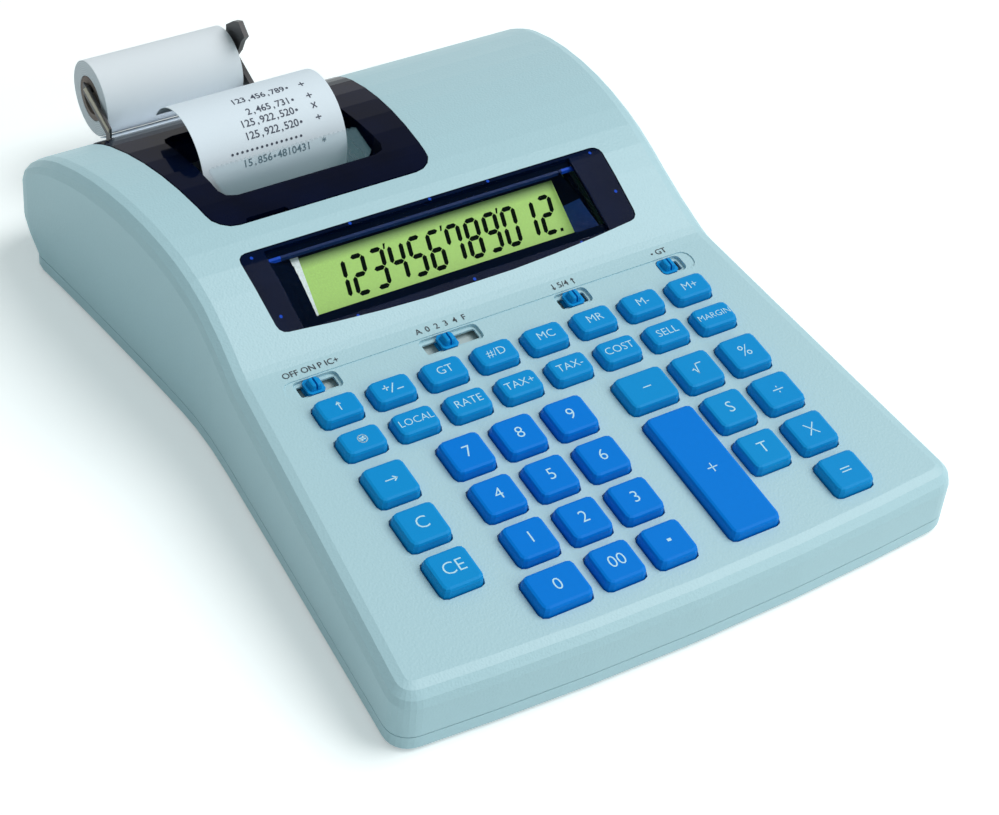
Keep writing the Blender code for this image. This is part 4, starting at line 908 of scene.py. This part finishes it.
class CALCULATOR_OT_display(bpy.types.Operator):
    """Adds the figures, the well and the frame of the display"""
    bl_idname = "calculator.display"
    bl_label = "Add the display"

    def execute(self, context):
        """Makes the display's pieces."""
        self.make_figures()
        self.make_well()
        self.make_bar()
        self.make_pegs()
        first = Vector((-0.0560, front_place + rib_place, crown(rib_place)[0] - 0.0062))
        ribs = repeated("display_ribs", context.scene.calculator.rib_count, first, Vector((0.0026, 0, 0)),
                        Vector((0.0007, 0.0009, 0.0068)), stored("well_dark", dark_plastic_and_painted_shade))
        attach(ribs, "housing")
        return {"FINISHED"}

    def make_figures(self):
        """The twelve figures with their separators."""
        ink = grained("display_ink", (0.004, 0.008, 0.004), 0.8, 0.0005, 0.0, 0.1, 0.0)
        segments = {"1": "bc", "2": "abged", "3": "abgcd", "4": "fgbc", "5": "afgcd", "6": "afgedc",
                    "7": "abcf", "8": "abcdefg", "9": "abcdfg", "0": "abcdef"}
        bm = bmesh.new()
        lean = 0.16
        first = -0.0395
        middle = -0.0011
        for index, figure in enumerate("123456789012"):
            x = first + index * figure_pitch
            shapes = segment_shapes(segments[figure], x, figure_height, figure_width, figure_stroke, lean)
            add_flat(bm, shapes, lambda px, py: lcd_point(px, middle + py, film))
            if index in (2, 5, 8):
                mark = [(0.0042, 0.0060), (0.0048, 0.0060), (0.0056, 0.0080), (0.0047, 0.0080)]
                add_flat(bm, [[(x + a, b) for a, b in mark]], lambda px, py: lcd_point(px, middle + py, film))
        end = first + 11 * figure_pitch + 0.0023
        foot = [[(end, -0.0074), (end + 0.0012, -0.0074), (end + 0.0014, -0.0062), (end + 0.0002, -0.0062)]]
        add_flat(bm, foot, lambda px, py: lcd_point(px, middle + py, film))
        add_piece("display_figures", bm, [ink])

    def make_well(self):
        """The walls between the window and the panel: front, rear, left and right."""
        dark = stored("well_dark", dark_plastic_and_painted_shade)
        # The glossy bright blue finish is painted light: a lit patch on the front half of the right wall.
        blue = grained("well_painted_light_blue", (0.006, 0.050, 0.30), 0.2, 0.002, 0.0, 0.2, 0.3)
        # The pale glossy finish is a painted highlight on the lens's left edge.
        pale = grained("lens_edge_painted_highlight", (0.62, 0.80, 0.80), 0.15, 0.0006, 0.0, 0.4)
        depth = 0.0017
        bm = bmesh.new()
        low, high = -0.0103, 0.0106
        inset = 0.0002
        side = 0.0526
        steps = 8
        tops = [well_front + (well_rear - well_front) * step / steps for step in range(steps + 1)]
        panel = [low + (high - low) * step / steps for step in range(steps + 1)]
        edges = [cheek_front + (cheek_rear - cheek_front) * step / steps for step in range(steps + 1)]

        def top(x, y):
            """A point just below the window."""
            return crown_point(x, y, -depth)

        def base(x, v):
            """A point just over the panel."""
            return lcd_point(x, v, inset)

        for step in range(steps):
            after = step + 1
            right = [top(edges[step], tops[step]), top(edges[after], tops[after]),
                     base(side, panel[after]), base(side, panel[step])]
            left = [top(well_left, tops[step]), top(well_left, tops[after]),
                    base(-side, panel[after]), base(-side, panel[step])]
            # The right wall's front half takes the painted light; its rear half and the left wall stay dark
            # plastic.
            for points, index in ((right, 1 if step < 4 else 0), (left[::-1], 0)):
                bm.faces.new([bm.verts.new(point) for point in points]).material_index = index
        front = [top(well_left, well_front), base(-side, low), base(side, low), top(cheek_front, well_front)]
        rear = [top(well_left, well_rear), top(cheek_rear, well_rear), base(side, high), base(-side, high)]
        for points in (front, rear):
            bm.faces.new([bm.verts.new(point) for point in points])
        add_piece("display_well", bm, [dark, blue])
        bm = bmesh.new()
        # A thin pale sliver on the lens's left edge: a painted highlight.
        lens = [(-0.0566, 0.0128), (-0.0511, 0.0112), (-0.0524, -0.0104), (-0.0532, -0.0108)]
        add_flat(bm, [lens[::-1]], lambda px, py: lcd_point(px, py, 0.0007))
        add_piece("display_lens_edge", bm, [pale])

    def make_bar(self):
        """The blue bar over the panel's upper edge with a brighter block at each end."""
        navy = grained("bar_navy", (0.005, 0.022, 0.100), 0.3, 0.002, 0.0, 0.2, 0.1)
        bright = grained("bar_bright", (0.008, 0.080, 0.60), 0.3, 0.002, 0.0, 0.2, 0.1)
        bm = bmesh.new()
        depth = 0.0019
        rear = well_rear
        front = rear - 0.0030
        for low, high, index in ((-0.0585, 0.0555, 0), (-0.0640, -0.0586, 1), (0.0556, 0.0610, 1)):
            shape = [(low, front), (high, front), (high, rear), (low, rear)]
            corners = [bm.verts.new(crown_point(x, y, -depth)) for x, y in shape]
            bm.faces.new(corners).material_index = index
            below = [bm.verts.new(crown_point(x, y, -depth - 0.0012)) for x, y in shape[:2]]
            bm.faces.new((below[0], below[1], corners[1], corners[0])).material_index = index
        add_piece("display_bar", bm, [navy, bright])

    def make_pegs(self):
        """Small blue pegs round the window."""
        bright = grained("peg_blue", (0.002, 0.060, 0.50), 0.5, 0.002, 0.0, 0.1, 0.1)
        bm = bmesh.new()
        places = [(-0.0690, 0.1740), (-0.0695, 0.1520), (-0.0440, 0.1444), (0.0020, 0.1440), (0.0470, 0.1445),
                  (0.0700, 0.1580), (0.0690, 0.1745), (-0.0300, 0.1757), (0.0020, 0.1757), (0.0260, 0.1757)]
        for x, y in places:
            add_flat(bm, [dot_shape(x, y, 0.0006, 10)], lambda px, py: crown_point(px, py, -0.00012))
        add_piece("window_pegs", bm, [bright])


class CALCULATOR_OT_shell(bpy.types.Operator):
    """Makes the visible upper housing, flush over its screw bosses"""
    bl_idname = "calculator.shell"
    bl_label = "Make the upper housing"

    def execute(self, context):
        """Makes the shell from the solid's own surface."""
        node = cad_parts["top_shell"]
        mesh = node.data.copy()
        mesh.name = "housing_shell"
        for vertex in mesh.vertices:
            for side in (-1, 1):
                for x, y in boss_places:
                    away = math.hypot(vertex.co.x - side * x, vertex.co.y - front_place - y)
                    if away < boss_radius * 1.3:
                        level = crown(vertex.co.y - front_place)[0]
                        vertex.co.z = min(vertex.co.z, level)
        mesh.update()
        mesh.materials.append(stored("well_dark", dark_plastic_and_painted_shade))
        last = len(mesh.materials) - 1
        # Painted shade: the housing's own faces inside the recess behind the window are coloured near-black.
        for polygon in mesh.polygons:
            y = polygon.center.y - front_place
            behind = abs(polygon.center.x) < 0.0765 and window_front - 0.002 < y < window_rear + 0.008
            if behind and polygon.center.z < crown(y)[0] - 0.0006:
                polygon.material_index = last
        shell = bpy.data.objects.new("housing_shell", mesh)
        context.scene.collection.objects.link(shell)
        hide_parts("top_shell")
        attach(shell, "housing")
        return {"FINISHED"}


class CALCULATOR_OT_roll(bpy.types.Operator):
    """Makes the round paper roll"""
    bl_idname = "calculator.roll"
    bl_label = "Make the paper roll"

    def execute(self, context):
        """Makes the roll about the core."""
        bm = bmesh.new()
        half = paper_width / 2
        sides = 120
        inner = core_radius + fit_gap
        bevel = 0.0002
        profile = ((inner, -half), (roll_radius - bevel, -half), (roll_radius, -half + bevel),
                   (roll_radius, half - bevel), (roll_radius - bevel, half), (inner, half))
        rings = []
        for radius, x in profile:
            ring = []
            for step in range(sides):
                turn = 2 * math.pi * step / sides
                y = front_place + roll_place + radius * math.cos(turn)
                ring.append(bm.verts.new((paper_middle + x, y, roll_height + radius * math.sin(turn))))
            rings.append(ring)
        for index in range(len(rings)):
            first, second = rings[index], rings[(index + 1) % len(rings)]
            for step in range(sides):
                after = (step + 1) % sides
                bm.faces.new((first[step], first[after], second[after], second[step]))
        bmesh.ops.recalc_face_normals(bm, faces=bm.faces)
        roll = add_piece("wound_roll", bm, [bpy.data.materials["wound_paper"]], "roll", smooth=True)
        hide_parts("paper_roll")
        return {"FINISHED"}


class CALCULATOR_OT_holder(bpy.types.Operator):
    """Makes the slim roll holder"""
    bl_idname = "calculator.holder"
    bl_label = "Make the roll holder"

    def execute(self, context):
        """Makes the crossbar, the arms, the pins and the guide ear."""
        black = grained("holder_black", (0.010, 0.010, 0.012), 0.4, 0.001, 0.0, 0.1)
        beige = grained("holder_beige", (0.42, 0.36, 0.26), 0.45, 0.001, 0.0, 0.1)
        pin = (roll_place, roll_height + pin_rise)
        reach = paper_width / 2 + holder_side_gap
        outer = reach + holder_plate
        bm = bmesh.new()
        bar = [(bar_front, bar_low), (bar_rear, bar_low), (bar_rear, bar_high), (bar_front, bar_high)]
        self.slab(bm, bar, -outer, outer, 0)
        slim = 0.0022
        arm = [(bar_front, bar_low), (bar_rear, bar_low), (bar_rear, elbow_height - slim),
               (pin[0] + slim, pin[1] - slim), (pin[0] + slim, pin[1] + slim), (pin[0] - slim, pin[1] + slim),
               (bar_front, elbow_height + slim)]
        # The left arm is beige metal; its black body, showing round the beige face, is painted shade on the arm's
        # edges.
        self.slab(bm, arm, -reach - 0.0010, -reach - 0.0002, 0)
        face = [(bar_rear - 0.0024, elbow_height), (pin[0] + slim * 0.7, pin[1] - slim * 0.2),
                (pin[0] - slim * 0.4, pin[1] + slim * 0.9), (bar_front + 0.0004, elbow_height + slim * 0.8)]
        self.slab(bm, face, -reach - 0.0012, -reach - 0.0010, 1)
        self.slab(bm, arm, reach, outer, 0)
        shape = ((0.0020, 0), (0.0022, 0.0116), (-0.0035, 0.0164), (-0.0076, 0.0184),
                 (-0.0128, 0.0144), (-0.0101, 0.0109), (-0.0079, 0.0055), (-0.0040, 0))
        ear = [(pin[0] + y, pin[1] + z) for y, z in shape]
        self.slab(bm, ear, reach, outer, 0)
        round_pin = dot_shape(pin[0], pin[1], 0.0016, 16)
        self.slab(bm, round_pin, -outer + 0.0012, -reach + 0.0040, 0)
        self.slab(bm, round_pin, reach - 0.0040, outer - 0.0006, 0)
        bmesh.ops.recalc_face_normals(bm, faces=bm.faces)
        holder = add_piece("slim_holder", bm, [black, beige], smooth=True)
        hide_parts("roll_holder")
        return {"FINISHED"}

    def slab(self, bm, outline, low, high, index):
        """Adds a plate with a side outline between two places across."""
        rings = []
        for x in (low, high):
            rings.append([bm.verts.new((paper_middle + x, front_place + y, z)) for y, z in outline])
        faces = [bm.faces.new(rings[0]), bm.faces.new(rings[1][::-1])]
        for step in range(len(outline)):
            after = (step + 1) % len(outline)
            faces.append(bm.faces.new((rings[0][step], rings[0][after], rings[1][after], rings[1][step])))
        for face in faces:
            face.material_index = index


class CALCULATOR_OT_paper(bpy.types.Operator):
    """Adds the printed strip"""
    bl_idname = "calculator.paper"
    bl_label = "Add the printed strip"

    def execute(self, context):
        """Makes the strip with its print."""
        settings = context.scene.calculator
        white = grained("paper", (0.80, 0.87, 0.94), 0.75, 0.0006, 0.00001, 0.02)
        ink = grained("print_ink", (0.03, 0.04, 0.07), 0.6, 0.0003, 0.0, 0.2)
        route = paper_route(32)
        bm = bmesh.new()
        half = paper_width / 2
        thick = paper_thickness / 2
        sides = []
        count = len(route)
        for index, point in enumerate(route):
            along = (route[min(index + 1, count - 1)] - route[max(index - 1, 0)]).normalized()
            normal = Vector((along.y, -along.x))
            sides.append((point + normal * thick, point - normal * thick))
        levels = []
        for upper, lower in sides:
            ring = []
            for x, place in ((-half, upper), (half, upper), (half, lower), (-half, lower)):
                ring.append(bm.verts.new((paper_middle + x, front_place + place.x, place.y)))
            levels.append(ring)
        for first, second in zip(levels, levels[1:]):
            for index in range(4):
                after = (index + 1) % 4
                bm.faces.new((first[index], first[after], second[after], second[index]))
        bm.faces.new(levels[0][::-1])
        bm.faces.new(levels[-1])
        bmesh.ops.recalc_face_normals(bm, faces=bm.faces)
        self.add_print(bm, settings.print_height)
        strip = add_piece("printed_strip", bm, [white, ink], body=None, smooth=True)
        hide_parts("paper_strip")
        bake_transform(strip)
        return {"FINISHED"}

    def add_print(self, bm, height):
        """The printed lines on the curl."""
        pitch = print_pitch
        lines = [("123,456,789.", 93, -0.0310), ("  2,465,731.", 110, -0.0318),
                 ("125,922,520.", 122, -0.0322), ("125,922,520.", 135, -0.0322),
                 ("15,856.4810431", 161, -0.0334)]
        marks = [("+", 93), ("+", 110), ("x", 122), ("/", 135), ("*", 161)]
        runs = [printed_shapes(text, x, height, pitch) for text, _degrees, x in lines]
        turns = [degrees for _text, degrees, _x in lines]
        for mark, degrees in marks:
            runs.append(printed_shapes(mark, mark_column, height, pitch))
            turns.append(degrees)
        dots = [dot_shape(-0.0503 + index * print_pitch, 0, 0.00050, 8) for index in range(15)]
        runs.append(dots)
        turns.append(148.5)
        above = paper_thickness / 2 + print_lift
        for shapes, degrees in zip(runs, turns):
            for shape in shapes:
                corners = []
                for x, arc in shape:
                    place = curl_point(degrees - math.degrees(arc / curl_radius), above)
                    corners.append(bm.verts.new((x, front_place + place.x, place.y)))
                bm.faces.new(corners).material_index = 1


class CALCULATOR_PT_panel(bpy.types.Panel):
    """Lists the calculator's steps"""
    bl_idname = "CALCULATOR_PT_panel"
    bl_label = "Calculator"
    bl_space_type = "VIEW_3D"
    bl_region_type = "UI"
    bl_category = "Calculator"

    def draw(self, context):
        """Draws the settings and the steps."""
        settings = context.scene.calculator
        for label in settings.bl_rna.properties.keys():
            if label not in ("rna_type", "name"):
                self.layout.prop(settings, label)
        for step in steps:
            self.layout.operator(step.bl_idname)


steps = (
    CALCULATOR_OT_stage,
    CALCULATOR_OT_finishes,
    CALCULATOR_OT_shell,
    CALCULATOR_OT_legends,
    CALCULATOR_OT_switch_marks,
    CALCULATOR_OT_display,
    CALCULATOR_OT_roll,
    CALCULATOR_OT_holder,
    CALCULATOR_OT_paper,
)
classes = (CalculatorSettings,) + steps + (CALCULATOR_PT_panel,)


def register():
    """Adds the classes and the scene's settings."""
    for item in classes:
        bpy.utils.register_class(item)
    bpy.types.Scene.calculator = bpy.props.PointerProperty(type=CalculatorSettings)


def unregister():
    """Removes the classes and the scene's settings."""
    del bpy.types.Scene.calculator
    for item in reversed(classes):
        bpy.utils.unregister_class(item)


def main():
    """Makes everything in order."""
    register()
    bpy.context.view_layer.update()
    bpy.ops.calculator.stage()
    bpy.ops.calculator.finishes()
    bpy.ops.calculator.shell()
    bpy.ops.calculator.legends()
    bpy.ops.calculator.switch_marks()
    bpy.ops.calculator.display()
    bpy.ops.calculator.roll()
    bpy.ops.calculator.holder()
    bpy.ops.calculator.paper()


if __name__ == "__main__":
    main()
